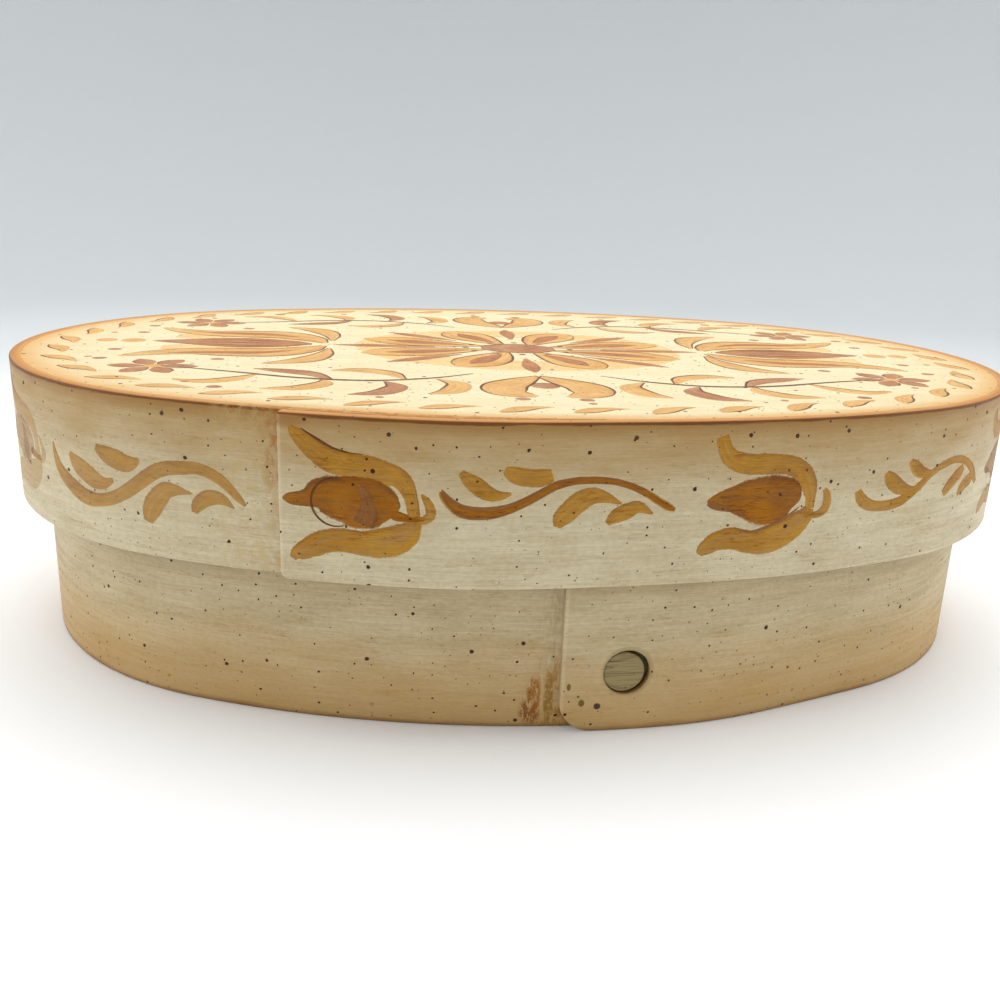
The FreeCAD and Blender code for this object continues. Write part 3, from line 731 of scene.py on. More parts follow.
# The base's pins: one rusty headed pin in the lap's lower corner and fourteen fine ones round
# the foot, sunk flush and painted over.
rusty_pin, tree, shader = new_finish("rusty_pin", 0.75)
place = lay_node(tree, "ShaderNodeTexCoord").outputs["Object"]
rust = lay_node(tree, "ShaderNodeTexNoise", {"Vector": place, "Scale": 3000.0, "Detail": 4.0}).outputs["Fac"]
rust = ramp_between(tree, rust, 0.35, 0.65)
give_look(tree, shader, blend_tints(tree, rust, srgb(46, 30, 22), srgb(104, 62, 38)), rust, 0.08 * MM,
          ramp_between(tree, rust, 0.0, 1.0, 0.5, 0.85))

painted_pin, tree, shader = new_finish("painted_pin", 0.5)
place = lay_node(tree, "ShaderNodeTexCoord").outputs["Object"]
dabs = lay_node(tree, "ShaderNodeTexNoise", {"Vector": place, "Scale": 900.0, "Detail": 3.0}).outputs["Fac"]
dabs = ramp_between(tree, dabs, 0.3, 0.7)
tree.links.new(blend_tints(tree, dabs, srgb(176, 132, 80), srgb(196, 160, 108)), shader.inputs["Base Color"])


def dress_node(node, finish):
    """Gives a carried-over solid its finish."""
    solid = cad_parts[node]
    for slot in solid.material_slots:
        slot.material = finish


dress_node("base_corner_pin", rusty_pin)
dress_node("base_panel_pins", painted_pin)


# The lid board: a thin oval board set flush into the top of the lid band, painted cream and
# glazed orange-brown towards the rim. Only its underside is left bare.
lid_low, lid_high = (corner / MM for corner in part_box("lid_band"))
lid_board_low, lid_board_high = (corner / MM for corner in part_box("lid_panel"))
paint_depth = 0.08
filled_joint = 0.12
lid_reach = lid_high.x - base_high.x

top_paint, tree, shader = new_finish("top_paint", shine=0.3)
place = on_piece(tree)
from_rim = lay_node(tree, "ShaderNodeAttribute", attribute_name="set_back").outputs["Fac"]
coat = use_group(tree, old_paint, {"Place": place, "Strength": 0.75,
                                   "Paint": srgb(242, 234, 194), "Wash": srgb(228, 188, 122)})
tint = glaze_over(tree, coat["Color"], place, from_rim, -1.0, 8.5, 4.0, srgb(222, 166, 90), 0.85)
side_way = lay_node(tree, "ShaderNodeSeparateXYZ", {0: place}).outputs["X"]
ends = ramp_between(tree, reckon(tree, "ABSOLUTE", side_way), 60.0, 145.0, 0.1, 0.5)
tint = glaze_over(tree, tint, place, from_rim, 0.0, 26.0, 16.0, srgb(234, 182, 104), ends)
tint = spatter(tree, tint, place, 0.06)
give_look(tree, shader, tint, coat["Height"], 0.04 * MM, coat["Roughness"])

lid_board = make_board("lid_board", lid_board_high.x - base_high.x, lid_board_low.z,
                       lid_board_high.z - paint_depth, [top_paint, sealed_board], filled_joint)
for face in lid_board.data.polygons:
    if face.normal.z < -0.5:
        face.material_index = 1
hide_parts("lid_panel")
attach(lid_board, "lid")


# The lid band: a second strip, bent and lapped the same way round the lid board, its lap to the
# left of the base's. Its upper rim was rounded over and rubbed with orange-brown glaze.
lid_wall = 3.0
lid_lap = {"end": -65.8, "held": -38.8, "foot": 29.0, "proud": lid_wall + glue_gap}
lid_corner = 2.0
lid_edge = 0.5
lid_rim = 0.45
lid_plug_along = -52.3
lid_plug_height = 61.0
lid_plug_radius = 5.8

lid_paint, tree, shader = new_finish("lid_paint", shine=0.3)
place = on_piece(tree)
axes = lay_node(tree, "ShaderNodeSeparateXYZ", {0: place}).outputs
coat = use_group(tree, old_paint, {"Place": place, "Paint": srgb(232, 219, 184), "Wash": srgb(176, 146, 96)})
top_edge = lid_high.z
tint = glaze_over(tree, coat["Color"], place, axes["Y"], top_edge, 24.0, 14.0, srgb(182, 138, 68), 0.8)
tint = glaze_over(tree, tint, place, axes["Y"], top_edge, 4.6, 1.6, srgb(158, 108, 40), 0.68)
waver = times(tree, reckon(tree, "SUBTRACT", cloud(tree, place, 11.0, 0.8, 5.2), 0.5), 1.1)
dark_line = ramp_between(tree, reckon(tree, "ADD", axes["Y"], waver), top_edge - 0.95, top_edge - 0.5)
tint = blend_tints(tree, times(tree, dark_line, 0.95), tint, srgb(122, 68, 8))
# The rim's own face on top, streaked with golden glaze that thins out towards the board.
gold = blend_tints(tree, ramp_between(tree, axes["Y"], top_edge + 0.3, top_edge + 3.2),
                   srgb(200, 132, 56), srgb(220, 160, 86))
streaks = use_group(tree, brush_grain, {"Place": place})["Hairs"]
gold = blend_tints(tree, times(tree, streaks, 0.35), gold, srgb(180, 120, 62))
rim = ramp_between(tree, axes["Y"], top_edge - 0.1, top_edge + 0.3)
tint = blend_tints(tree, rim, tint, gold)
lap_spot = oval_length(lid_reach) + lid_lap["end"]
beside = reckon(tree, "SUBTRACT", lap_spot, axes["X"])
blotch = ramp_between(tree, cloud(tree, place, 3.4, 4.4, 6.3, 5.0, 0.7), 0.42, 0.62)
zone = times(tree, blotch, ramp_between(tree, beside, 12.0, 22.0, 0.45, 0.0))
tint = blend_tints(tree, zone, tint, srgb(206, 174, 112))
blotch = ramp_between(tree, cloud(tree, place, 2.6, 3.8, 1.7, 5.0, 0.7), 0.4, 0.62)
upper = ramp_between(tree, axes["Y"], 56.0, 74.0, 0.2, 0.95)
stain = times(tree, ramp_between(tree, beside, 1.5, 7.5, 1.0, 0.0), blotch)
tint = blend_tints(tree, times(tree, stain, upper), tint, srgb(182, 118, 34))
# A pale line down the lap's square end, painted highlight where a ridge of paint catches the light, and a
# smear of glaze over its upper corner.
ridge = reckon(tree, "ABSOLUTE", reckon(tree, "SUBTRACT", axes["X"], lid_lap["end"] + 0.5))
ridge = ramp_between(tree, ridge, 0.15, 0.6, 0.26, 0.0)
tint = blend_tints(tree, times(tree, ridge, reckon(tree, "SUBTRACT", 1.0, dark_line)), tint,
                   srgb(238, 226, 194))
smear = times(tree, patch_at(tree, place, (lid_lap["end"] + 2.2, 79.3), (4.2, 1.3), 0.6), 0.6)
tint = blend_tints(tree, smear, tint, srgb(168, 112, 50))
tint = spatter(tree, tint, place)
give_look(tree, shader, tint, coat["Height"], 0.05 * MM, coat["Roughness"])

lid_strip = make_strip("lid_strip", lid_lap, lid_wall, lid_reach - paint_depth, lid_low.z, lid_high.z,
                       lid_corner, lid_edge, lid_rim, filled_joint, [lid_paint, sealed_board], 0.3)
bore(lid_strip, lid_plug_along, lid_plug_height, lid_reach, lid_plug_radius)
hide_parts("lid_band")
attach(lid_strip, "lid")


# The lid plug: a round plug through the lid's lap, cut flush and painted over with the band.
lid_plug = make_plug("lid_lap_plug", lid_plug_along, lid_plug_height, lid_reach, lid_plug_radius - 0.12,
                     lid_lap["proud"] - paint_depth - 0.03, 6.0, [lid_paint])
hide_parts("lid_plug")
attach(lid_plug, "lid")


# The lid's pins: fifteen fine pins just under the rim, through the band into the board. Their
# ends show as near-black dots.
dress_node("lid_panel_pins", rusty_pin)


# The painted border: traditional tulips, open to the left, and S-shaped scrolls with comma leaves
# take turns right round the lid band. Each is a few strokes of thin ochre glaze, laid by hand.
def through(knots, step):
    """Close points on a smooth line through a stroke's knots, each with its width."""
    knots = [Vector(knot) for knot in knots]
    ends = [knots[0] * 2 - knots[1]] + knots + [knots[-1] * 2 - knots[-2]]
    line = []
    for before, start, stop, after in zip(ends, ends[1:], ends[2:], ends[3:]):
        parts = max(2, int((stop - start).xy.length / step))
        for i in range(parts):
            u = i / parts
            line.append(0.5 * (2 * start + (stop - before) * u
                        + (2 * before - 5 * start + 4 * stop - after) * u**2
                        + (3 * start - before - 3 * stop + after) * u**3))
    return line + [knots[-1]]


edge_sink = 0.01
crown_drop = 0.3
shake_length = 2.4


class PaintFilm:
    """Strokes of one colour on one surface, gathered into a thin film of paint."""

    def __init__(self, surface, lift):
        self.surface = surface
        self.lift = lift
        self.points = []
        self.faces = []
        self.places = []
        self.ways = []

    def stroke(self, knots, step=0.7, shake=0.07):
        """One stroke: a crowned ribbon, its wavering edges run into the surface."""
        line = through(knots, step)
        columns = (-1.0, -0.93, -0.5, 0.0, 0.5, 0.93, 1.0)
        first = len(self.points)
        run = 97.0 * (first % 13)
        for i, spot in enumerate(line):
            ahead = (line[min(i + 1, len(line) - 1)] - line[max(i - 1, 0)]).xy.normalized()
            side = Vector((-ahead.y, ahead.x))
            if i:
                run += (spot - line[i - 1]).xy.length
            for column in columns:
                waver = shake * noise.noise(Vector((run / shake_length, column * 1.7, first)))
                out = column * max(spot.z, 0.05) / 2 + waver
                along, up = spot.xy + side * out
                film = self.lift * (1 - crown_drop * column**2) if abs(column) < 1 else -edge_sink
                self.points.append(self.surface(along, up, film))
                self.places.append((along, up))
                self.ways.append((run, column))
        wide = len(columns)
        for i in range(len(line) - 1):
            for j in range(wide - 1):
                a = first + i * wide + j
                self.faces.append((a, a + wide, a + wide + 1, a + 1))

    def dab(self, along, up, length, width):
        """A round or oval dab of the brush."""
        shares = (-1.0, -0.92, -0.7, -0.35, 0.0, 0.35, 0.7, 0.92, 1.0)
        self.stroke([(along + share * length / 2, up, width * math.sqrt(max(0.02, 1 - share**2)))
                     for share in shares])

    def finish(self, name, finish, body, slot):
        film = place_mesh(name, self.points, self.faces, [finish])
        note_places(film, self.places)
        ways = film.data.uv_layers.new(name="Way")
        for loop in film.data.loops:
            ways.data[loop.index].uv = self.ways[loop.vertex_index]
        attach(film, body)


def glaze_finish(name, tint, pooled, cover, faded_places=()):
    """Thin glaze: streaky along the brush's way, darker where it pooled along one edge."""
    finish, tree, shader = new_finish(name, shine=0.15)
    place = on_piece(tree)
    way = on_piece(tree, "Way")
    signed = lay_node(tree, "ShaderNodeSeparateXYZ", {0: way}).outputs["Y"]
    column = reckon(tree, "ABSOLUTE", signed)
    streaks = ramp_between(tree, cloud(tree, way, 14.0, 0.5, 3.3, 3.0, 0.5), 0.3, 0.7)
    under = use_group(tree, brush_grain, {"Place": place})
    dark = times(tree, ramp_between(tree, signed, 0.5, 0.95), 0.4)
    load = ramp_between(tree, cloud(tree, way, 13.0, 3.0, 7.1, 2.0), 0.35, 0.65)
    for share, weight in ((load, 0.28), (streaks, 0.3), (under["Hairs"], 0.22),
                          (under["Mottle"], 0.12), (under["Grain"], 0.6)):
        dark = reckon(tree, "ADD", dark, times(tree, share, weight), clamp=True)
    colour = spatter(tree, blend_tints(tree, dark, tint, pooled), place)
    ragged = times(tree, cloud(tree, place, 1.1, 0.7, 6.1, 2.0), 0.14)
    margin = ramp_between(tree, reckon(tree, "ADD", column, ragged), 0.94, 1.07, 1.0, 0.0)
    faded = 0.0
    for spot, size, share in faded_places:
        wear_and_highlight = times(tree, patch_at(tree, place, spot, size), share)
        faded = reckon(tree, "MAXIMUM", faded, wear_and_highlight)
    thin = reckon(tree, "SUBTRACT", 1.0, times(tree, streaks, 1.0 - cover))
    thin = times(tree, thin, reckon(tree, "SUBTRACT", 1.0, faded))
    give_look(tree, shader, colour, under["Hairs"], 0.03 * MM)
    # The glaze takes no light from the paint that shows through it.
    light_path = lay_node(tree, "ShaderNodeLightPath").outputs
    open_way = reckon(tree, "SUBTRACT", 1.0, reckon(tree, "MAXIMUM", light_path["Is Shadow Ray"],
                                                    light_path["Is Diffuse Ray"]))
    film = times(tree, times(tree, margin, thin), open_way)
    tree.links.new(film, shader.inputs["Alpha"])
    return finish


def on_lid_side(along, up, lift):
    """A spot on the lid band's painted face, laps and ramp included."""
    length = oval_length(lid_reach)
    along = (along - lid_lap["end"]) % length + lid_lap["end"]
    spot, outward = oval_place(along, lid_reach)
    spot = spot + outward * (lap_rise(along, lid_lap) - paint_depth + lift)
    return spot.x, spot.y, up


first_tulip = {
    "petals": [
        [(-62.7, 78.2, 0.8), (-61.9, 77.0, 2.5), (-60.6, 75.9, 4.0), (-59.0, 74.6, 4.8),
         (-57.3, 73.2, 5.5), (-53.7, 71.0, 6.3), (-49.5, 70.0, 6.3), (-45.2, 69.7, 6.0),
         (-41.4, 68.7, 5.8), (-38.2, 67.6, 5.1), (-36.3, 65.5, 4.2), (-35.4, 63.1, 3.4),
         (-34.9, 60.7, 3.1), (-34.6, 58.4, 3.0)],
        [(-62.7, 46.6, 1.7), (-61.9, 47.7, 3.2), (-60.9, 48.3, 4.3), (-57.6, 50.2, 5.7),
         (-54.0, 51.7, 6.1), (-50.1, 52.0, 6.2), (-46.4, 51.6, 6.4), (-42.7, 51.8, 7.5),
         (-39.2, 52.6, 7.8), (-36.2, 54.5, 6.6), (-34.7, 56.8, 4.0), (-34.6, 58.6, 3.0)],
    ],
    "bud": [(-64.8, 61.1, 0.4), (-63.8, 61.2, 2.2), (-62.4, 61.2, 3.4), (-60.1, 61.4, 4.0),
            (-58.5, 61.8, 5.2), (-57.1, 62.4, 7.5), (-54.8, 62.5, 9.8), (-51.7, 62.1, 11.4),
            (-49.4, 61.7, 12.5), (-47.1, 61.3, 13.3), (-43.3, 61.1, 12.3), (-41.0, 60.8, 9.8),
            (-39.5, 60.3, 6.8), (-38.2, 59.7, 2.8)],
    "patch": [(-47.0, 65.4, 0.6), (-46.0, 63.8, 2.6), (-45.3, 62.0, 4.4), (-45.0, 60.2, 5.6),
              (-45.2, 58.4, 6.0), (-45.8, 56.9, 5.6), (-46.1, 56.1, 5.0)],
    "line": [(-60.2, 77.8, 0.2), (-57.7, 76.3, 0.6), (-55.9, 75.3, 0.7), (-53.1, 73.8, 0.6),
             (-49.6, 72.9, 0.4), (-46.0, 72.6, 0.15)],
    "curl": [(-40.4, 59.4, 1.4), (-38.7, 58.7, 2.6), (-36.4, 58.2, 2.2), (-34.2, 57.8, 1.9),
             (-32.3, 57.9, 2.2), (-31.0, 58.9, 2.5), (-30.9, 60.3, 2.4), (-31.5, 61.9, 2.1),
             (-32.2, 63.0, 1.6), (-33.0, 64.0, 0.5)],
}
second_tulip = {
    "petals": [
        [(36.2, 77.5, 3.1), (36.6, 76.4, 3.6), (37.4, 74.2, 4.0), (39.4, 72.0, 4.8), (43.6, 70.6, 5.5),
         (49.2, 70.4, 5.5), (53.5, 70.1, 5.2), (56.9, 69.1, 5.3), (59.6, 66.8, 5.7), (61.3, 64.1, 4.8),
         (62.0, 61.5, 3.2), (62.1, 58.5, 2.7)],
        [(33.2, 48.5, 1.8), (33.8, 49.4, 3.3), (34.9, 50.3, 4.4), (37.1, 51.6, 5.3), (40.4, 52.2, 5.9),
         (43.5, 51.7, 5.9), (47.2, 50.8, 6.2), (50.8, 51.1, 7.4), (54.8, 52.4, 7.5), (58.5, 54.6, 6.8),
         (61.1, 57.0, 5.1), (61.9, 58.7, 3.1)],
    ],
    "bud": [(34.0, 61.3, 1.3), (34.8, 61.4, 2.7), (37.1, 61.7, 4.8), (40.5, 62.0, 7.2),
            (44.2, 61.9, 10.6), (48.5, 61.4, 13.1), (52.2, 61.5, 13.0), (55.3, 62.0, 10.8),
            (57.2, 61.9, 7.9), (58.5, 61.5, 4.2), (59.1, 61.3, 1.2)],
    "patch": [(34.1, 61.4, 1.4), (35.3, 61.0, 2.2), (36.8, 60.4, 2.1), (38.4, 59.8, 1.4),
              (39.8, 59.3, 0.4)],
    "shade": [(41.7, 55.0, 0.2), (44.5, 53.9, 0.6), (47.0, 53.7, 0.7), (49.9, 54.5, 0.8),
              (53.9, 55.8, 0.9), (57.0, 57.6, 0.8), (59.1, 59.2, 0.3)],
    "curl": [(59.7, 57.4, 0.8), (62.0, 56.8, 1.4), (64.7, 56.8, 2.1), (66.5, 57.9, 2.7),
             (67.1, 59.8, 2.7), (66.7, 62.0, 2.2), (65.8, 63.2, 1.2)],
}
middle_scroll = {
    "stem": [(-28.5, 64.9, 1.2), (-28.1, 63.8, 2.1), (-26.1, 61.6, 2.9), (-23.6, 60.2, 3.3),
             (-20.4, 59.8, 3.2), (-16.7, 60.1, 3.0), (-13.1, 61.1, 2.5), (-10.0, 62.5, 2.4),
             (-6.4, 64.5, 2.3), (-3.2, 66.3, 2.2), (0.4, 67.3, 1.9), (4.1, 67.6, 1.8), (7.9, 67.5, 1.7),
             (11.7, 67.0, 1.6), (15.6, 65.7, 1.7), (18.7, 64.2, 1.9), (21.7, 62.3, 2.0),
             (24.3, 60.8, 2.0), (26.0, 60.0, 1.0)],
    "leaves": [
        [(-24.4, 69.5, 1.6), (-23.1, 68.2, 3.0), (-20.9, 66.5, 4.2), (-18.5, 64.8, 3.9),
         (-15.9, 64.1, 2.6), (-13.0, 64.6, 0.7)],
        [(-14.7, 70.2, 1.6), (-13.7, 69.7, 3.2), (-11.6, 68.8, 4.4), (-8.9, 68.3, 4.5), (-5.9, 68.4, 4.3),
         (-3.8, 69.0, 3.1)],
        [(-2.2, 56.5, 1.9), (-1.5, 58.2, 4.3), (-0.3, 59.6, 5.0), (2.6, 62.4, 5.3), (5.5, 63.8, 4.6),
         (8.7, 63.5, 2.9), (12.8, 61.9, 0.5)],
        [(9.6, 57.1, 1.5), (11.4, 58.7, 3.6), (14.2, 60.0, 4.2), (17.0, 60.9, 3.2), (20.6, 59.3, 0.6)],
    ],
}
left_scroll = {
    "stem": [(-135.4, 64.9, 0.7), (-134.7, 61.8, 2.3), (-133.3, 58.9, 3.6), (-130.4, 56.4, 4.4),
             (-125.8, 54.1, 4.9), (-121.5, 52.9, 4.6), (-116.6, 53.2, 3.7), (-111.6, 54.8, 3.6),
             (-106.8, 57.5, 3.9), (-102.9, 60.3, 4.0), (-99.2, 62.8, 3.9), (-95.8, 64.2, 3.8),
             (-92.0, 64.7, 3.6), (-88.3, 65.1, 3.3), (-85.2, 64.6, 3.1), (-82.1, 63.3, 3.0),
             (-79.7, 61.5, 2.7), (-77.3, 59.1, 2.2), (-75.3, 57.1, 1.0)],
    "leaves": [
        [(-127.8, 63.4, 1.6), (-125.6, 61.4, 4.6), (-122.2, 59.7, 5.8), (-118.6, 58.2, 5.3),
         (-115.0, 57.9, 3.2), (-111.9, 59.1, 1.1)],
        [(-117.3, 66.7, 2.0), (-114.5, 65.5, 4.4), (-111.2, 64.6, 5.6), (-107.8, 64.0, 5.0),
         (-104.9, 64.5, 3.0), (-103.4, 65.5, 1.0)],
        [(-101.9, 50.1, 2.8), (-100.9, 52.7, 5.2), (-99.4, 55.4, 5.8), (-96.4, 58.5, 4.8),
         (-93.4, 59.1, 2.9), (-91.2, 58.9, 1.6), (-88.9, 58.7, 0.3)],
        [(-88.7, 54.0, 1.7), (-87.8, 55.9, 3.6), (-85.8, 57.7, 4.2), (-83.4, 58.4, 3.9),
         (-80.9, 58.0, 2.8), (-78.1, 56.2, 0.3)],
    ],
}
right_scroll = {
    "stem": [(76.4, 61.9, 2.1), (77.7, 59.7, 3.4), (80.6, 57.8, 3.2), (84.0, 57.2, 2.9),
             (88.0, 57.1, 3.0), (91.9, 57.9, 3.0), (94.8, 59.3, 2.8), (97.9, 61.2, 2.5),
             (100.7, 63.2, 2.2), (103.7, 64.8, 2.2), (107.8, 66.1, 2.3), (112.5, 66.5, 2.2),
             (117.3, 65.5, 2.2), (122.0, 62.9, 2.6), (124.7, 60.1, 2.6), (126.7, 58.0, 1.6)],
    "leaves": [
        [(85.1, 65.8, 1.9), (86.7, 64.1, 4.1), (89.3, 62.1, 4.5), (92.2, 60.8, 3.5), (94.4, 60.4, 2.4),
         (96.6, 60.8, 0.9)],
        [(93.0, 68.2, 1.8), (95.1, 66.5, 3.6), (97.4, 64.9, 3.5), (100.1, 64.4, 2.3), (101.4, 64.7, 0.8)],
        [(108.3, 57.6, 2.4), (110.0, 59.0, 3.6), (112.5, 60.9, 4.0), (115.2, 62.5, 3.8),
         (117.0, 64.0, 2.4)],
        [(115.9, 56.2, 1.2), (117.4, 57.6, 3.2), (119.5, 58.9, 4.0), (122.2, 59.8, 4.0),
         (123.4, 61.4, 2.6)],
    ],
}

petal_film = PaintFilm(on_lid_side, 0.04)
bud_film = PaintFilm(on_lid_side, 0.06)
patch_film = PaintFilm(on_lid_side, 0.07)
seam_film = PaintFilm(on_lid_side, 0.08)
hand = random.Random(11)


def shifted(knots, about=(0, 0), onto=(0, 0), lean=0.0, size=1.0, tremor=0.0):
    """A stroke painted again elsewhere, a little different as a hand makes it."""
    turned = []
    for along, up, width in knots:
        spot = Matrix.Rotation(lean, 2) @ (Vector((along, up)) - Vector(about)) * size
        turned.append((spot.x + onto[0] + hand.uniform(-tremor, tremor),
                       spot.y + onto[1] + hand.uniform(-tremor, tremor),
                       width * hand.uniform(1 - tremor / 2, 1 + tremor / 2)))
    return turned


def paint_tulip(tulip, *placing):
    for petal in tulip["petals"]:
        petal_film.stroke(shifted(petal, *placing))
    bud_film.stroke(shifted(tulip["bud"], *placing))
    curl = shifted(tulip["curl"], *placing)
    petal_film.stroke(curl)
    if tulip is first_tulip:
        core_shares = (1, 1, 0.75, 0.45, 0.2)
        bud_film.stroke([(along, up, width * share) for (along, up, width), share in zip(curl, core_shares)])
    for mark in ("patch", "shade"):
        if mark in tulip:
            patch_film.stroke(shifted(tulip[mark], *placing))
    if "line" in tulip:
        seam_film.stroke(shifted(tulip["line"], *placing))


def paint_scroll(scroll, *placing):
    for leaf in scroll["leaves"]:
        petal_film.stroke(shifted(leaf, *placing))
    stem = shifted(scroll["stem"], *placing)
    petal_film.stroke(stem)
    if scroll is middle_scroll:
        bud_film.stroke([(along, up, width * 0.62) for along, up, width in stem])
        for edge_share, share in ((0.36, 0.34), (-0.36, 0.22)):
            patch_film.stroke([(along, up + width * edge_share, width * share)
                               for along, up, width in stem[:-3]])


paint_tulip(first_tulip)
paint_tulip(second_tulip)
# The plug's edge shows through the first bud as a thin dark line.
ring = []
ring_start = 85
for turn in (math.radians(degrees) for degrees in range(ring_start, 286, 20)):
    ring.append((lid_plug_along + lid_plug_radius * math.cos(turn),
                 lid_plug_height + lid_plug_radius * math.sin(turn),
                 0.3 + 0.3 * math.sin(turn - math.radians(ring_start))))
seam_film.stroke(ring, shake=0.03)
for scroll in (left_scroll, middle_scroll, right_scroll):
    paint_scroll(scroll)
for spot, tulip in zip((150, 254, 358, 462, 566, 677), (second_tulip, first_tulip) * 3):
    about = (-47, 62) if tulip is first_tulip else (50, 62)
    paint_tulip(tulip, about, (spot, 62 + hand.uniform(-1, 1)), hand.uniform(-0.05, 0.05),
                hand.uniform(0.95, 1.04), 0.22)
for spot, scroll in zip((203, 307, 411, 515, 622), (middle_scroll, left_scroll) * 3):
    about = (-1.5, 63) if scroll is middle_scroll else (-106, 60)
    paint_scroll(scroll, about, (spot, 63 + hand.uniform(-1, 1)), hand.uniform(-0.05, 0.05),
                 hand.uniform(0.95, 1.05), 0.22)

# The tulips at the box's two ends are rubbed pale.
rubbed = [((677, 62), (34, 40), 0.55), ((150, 62), (24, 40), 0.35), ((-106, 60), (34, 40), 0.14)]
ochre_glaze = glaze_finish("ochre_glaze", srgb(202, 148, 50), srgb(154, 96, 14), 0.88, rubbed)
sienna_glaze = glaze_finish("sienna_glaze", srgb(182, 114, 8), srgb(122, 64, 0), 0.95, rubbed)
umber_line = glaze_finish("umber_line", srgb(112, 62, 8), srgb(88, 46, 4), 0.8, rubbed)
umber_glaze = glaze_finish("umber_glaze", srgb(156, 104, 56), srgb(132, 80, 36), 0.85, rubbed)
petal_film.finish("border_petals", ochre_glaze, "lid", "painted_band")
bud_film.finish("border_buds", sienna_glaze, "lid", "painted_band")
patch_film.finish("border_patches", umber_glaze, "lid", "painted_band")
seam_film.finish("border_fine_lines", umber_line, "lid", "painted_band")


# The painted top: a plain folk pattern of the same ochres and browns, an eight-petalled rosette
# between two tulips, with leafy scrolls, small daisies and a ring of comma strokes by the rim.
top_height = lid_board_high.z - paint_depth


def on_lid_top(along, up, lift):
    return along, up, top_height + lift


pale_film = PaintFilm(on_lid_top, 0.015)
wash_film = PaintFilm(on_lid_top, 0.03)
rose_film = PaintFilm(on_lid_top, 0.05)
line_film = PaintFilm(on_lid_top, 0.075)


def outlined(film, knots, line_width, sides=(-1, 1), step=1.0):
    """A stroke with thin dark lines along its edges."""
    film.stroke(knots, step)
    line = through(knots, step)
    for side_sign in sides:
        edge = []
        for i in range(0, len(line), 3):
            ahead = (line[min(i + 1, len(line) - 1)] - line[max(i - 1, 0)]).xy.normalized()
            out = Vector((-ahead.y, ahead.x)) * side_sign * line[i].z * 0.47
            share = i / len(line)
            width = line_width * (0.35 + 0.65 * math.sin(math.pi * min(1.0, share + 0.12)))
            edge.append((line[i].x + out.x, line[i].y + out.y, width))
        if len(edge) > 2:
            line_film.stroke(edge, step, 0.06)


def spun(knots, turn=0.0, centre=(0, 0), mirror=(1, 1)):
    """A stroke turned about the origin, mirrored or stretched, and set at a centre."""
    done = []
    for along, up, width in knots:
        spot = Matrix.Rotation(turn, 2) @ Vector((along, up))
        done.append(((spot.x + centre[0]) * mirror[0], (spot.y + centre[1]) * mirror[1], width))
    return done


quarters = [(1, 1), (-1, 1), (1, -1), (-1, -1)]
rosette_shape = (1.35, 1.0)
halo = []
for k in range(33):
    turn = 2 * math.pi * k / 32
    halo.append((33 * rosette_shape[0] * math.cos(turn), 33 * math.sin(turn), 17.0))
pale_film.stroke(halo, 2.0, 0.4)
for k in range(8):
    turn = math.pi / 4 * k + math.pi / 8
    petal = [(9, 0, 2), (16, 0.4, 10), (24, 0.6, 16), (31, 0.3, 16.5), (37, 0, 10), (40, 0, 2)]
    outlined(wash_film, spun(petal, turn, mirror=rosette_shape), 0.9)
    core = [(13, 0, 1), (20, 0.3, 5.2), (28, 0.4, 6.6), (34, 0, 1)]
    rose_film.stroke(spun(core, turn, mirror=rosette_shape))
    between = [(20, 0, 1), (32, 0, 5.4), (39, 0, 4.6), (44, 0, 0.8)]
    rose_film.stroke(spun(between, turn + math.pi / 8, mirror=rosette_shape))
outlined(rose_film, spun([(-12, 0, 6), (-7, 0, 16), (0, 0, 19), (7, 0, 16), (12, 0, 6)]), 0.8)
wash_film.dab(0, 0, 9, 8)
for k in range(12):
    turn = math.pi / 6 * k
    line_film.dab(17 * math.cos(turn), 12.2 * math.sin(turn), 2.2, 2.2)

for flip in (1, -1):
    for side_sign in (1, -1):
        mirror = (flip, side_sign)
        wash = [(64, 8, 4), (78, 10, 18), (94, 11, 20), (110, 12, 8)]
        pale_film.stroke(spun(wash, mirror=mirror), 2.0, 0.4)
        outlined(wash_film, spun([(62, 3, 2), (67, 11, 10), (76, 18, 15), (88, 19, 15), (100, 19, 11),
                                  (111, 24, 7), (118, 30, 1.6)], mirror=mirror), 0.9)
        rose_film.stroke(spun([(71, 14, 1), (81, 19, 4.6), (94, 20, 4.4), (106, 22, 1)], mirror=mirror))
        outlined(wash_film, spun([(60, 8, 1), (61, 20, 6), (66, 31, 8.5), (77, 38, 1.2)], mirror=mirror), 0.7)
    bloom = [(66, 0, 2), (74, 0, 13), (86, 0, 19), (98, 0, 15), (108, 0, 7), (115, 0, 1)]
    outlined(rose_film, spun(bloom, mirror=(flip, 1)), 0.9)
    for share in (-5.4, 0, 5.4):
        vein = [(75, share * 0.6, 0.3), (87, share, 1.0), (101, share * 0.6, 0.3)]
        line_film.stroke(spun(vein, mirror=(flip, 1)), 0.8, 0.05)

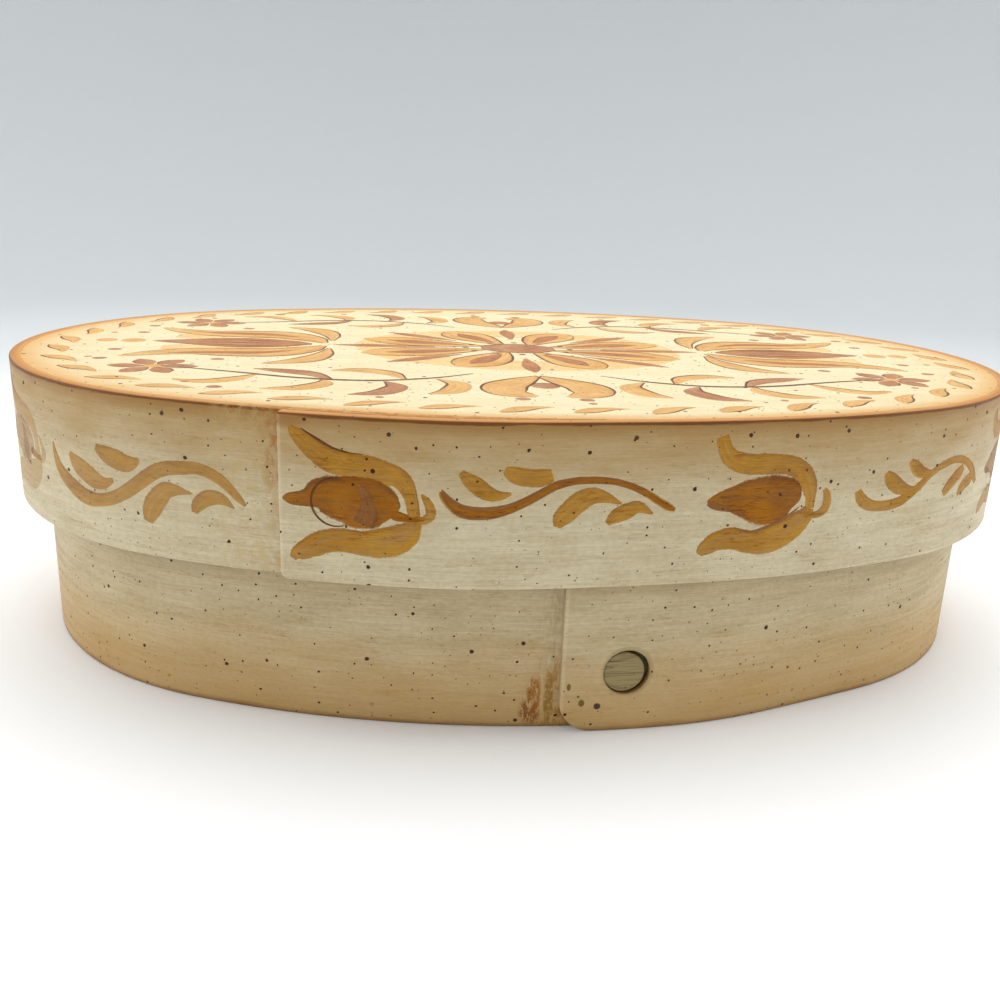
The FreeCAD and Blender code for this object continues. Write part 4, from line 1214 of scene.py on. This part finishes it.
for mirror in quarters:
    stem = [(18, 48, 0.7), (30, 56, 1.6), (46, 61, 2.0), (64, 59, 2.0), (82, 52, 1.6), (98, 46, 1.0)]
    line_film.stroke(spun(stem, mirror=mirror), 1.0, 0.1)
    leaves = [
        [(28, 57, 1), (23, 64, 6.4), (25, 73, 7.0), (31, 78, 1)],
        [(42, 62, 1), (39, 69, 6.2), (43, 77, 6.6), (51, 80, 1)],
        [(58, 61, 1), (58, 67, 6.0), (64, 73, 6.0), (73, 74, 1)],
        [(37, 58, 1), (41, 50, 5.6), (49, 46, 6.0), (57, 47, 1)],
        [(56, 61, 1), (62, 53, 5.6), (70, 49, 5.6), (78, 46, 1)],
        [(76, 55, 1), (81, 62, 5.4), (88, 66, 5.0), (96, 64, 1)],
    ]
    for number, leaf in enumerate(leaves):
        film = rose_film if number % 3 == 1 else wash_film
        outlined(film, spun(leaf, mirror=mirror), 0.8, sides=(-mirror[0] * mirror[1],))
    for k in range(6):
        turn = math.pi / 3 * k
        petal = spun([(2.2, 0, 1), (5.6, 0, 6.0), (9.4, 0, 5.6), (12, 0, 1)], turn)
        outlined(rose_film, spun(petal, 0, (105, 45), mirror), 0.5, sides=(1,))
    wash_film.dab(105 * mirror[0], 45 * mirror[1], 6.4, 6.4)
    for knot in ((8, 82), (90, 32), (122, 18), (122, 34), (84, 73)):
        rose_film.dab(knot[0] * mirror[0], knot[1] * mirror[1], 4.0, 3.6)

for flip in (1, -1):
    for side_sign in (1, -1):
        lobe = [(0, 50, 1.6), (6, 58, 9), (11, 66, 12.5), (10.5, 74, 11), (4, 79, 2.4)]
        outlined(wash_film, spun(lobe, mirror=(side_sign, flip)), 0.9)
    rose_film.dab(0, 64 * flip, 8, 9)
    for number, along in enumerate((121, 129)):
        wash_film.dab(along * flip, 0, 7.4 - number, 8.4 - number)

ring_inset = 13.0
ring_reach = lid_reach - ring_inset
ring_length = oval_length(ring_reach)
commas = 42
for k in range(commas):
    spot, outward = oval_place(ring_length * (k + 0.5) / commas, ring_reach)
    turn = math.atan2(outward.x, -outward.y)
    lean = 0.42 if k % 2 else 0.24
    comma = spun([(-7.4, -1.4, 0.8), (-4.4, -0.6, 4.2), (-0.6, 0.3, 5.2), (4.0, 0.4, 2.6), (7.8, -0.6, 0.5)],
                 turn + lean, spot)
    outlined(wash_film, comma, 0.7, sides=(-1,), step=0.7)
    if k % 3 == 0:
        inner = spot - outward * 7.0
        rose_film.dab(inner.x, inner.y, 2.2, 2.2)

peach_wash = glaze_finish("peach_wash", srgb(244, 208, 142), srgb(232, 180, 108), 0.5)
amber_glaze = glaze_finish("amber_glaze", srgb(238, 192, 120), srgb(206, 142, 70), 0.84)
rose_glaze = glaze_finish("rose_glaze", srgb(198, 136, 90), srgb(154, 88, 54), 0.78)
liner_glaze = glaze_finish("liner_glaze", srgb(122, 68, 40), srgb(92, 48, 28), 0.85)
pale_film.finish("top_pale_washes", peach_wash, "lid", "painted_lid")
wash_film.finish("top_washes", amber_glaze, "lid", "painted_lid")
rose_film.finish("top_rose_strokes", rose_glaze, "lid", "painted_lid")
line_film.finish("top_fine_lines", liner_glaze, "lid", "painted_lid")
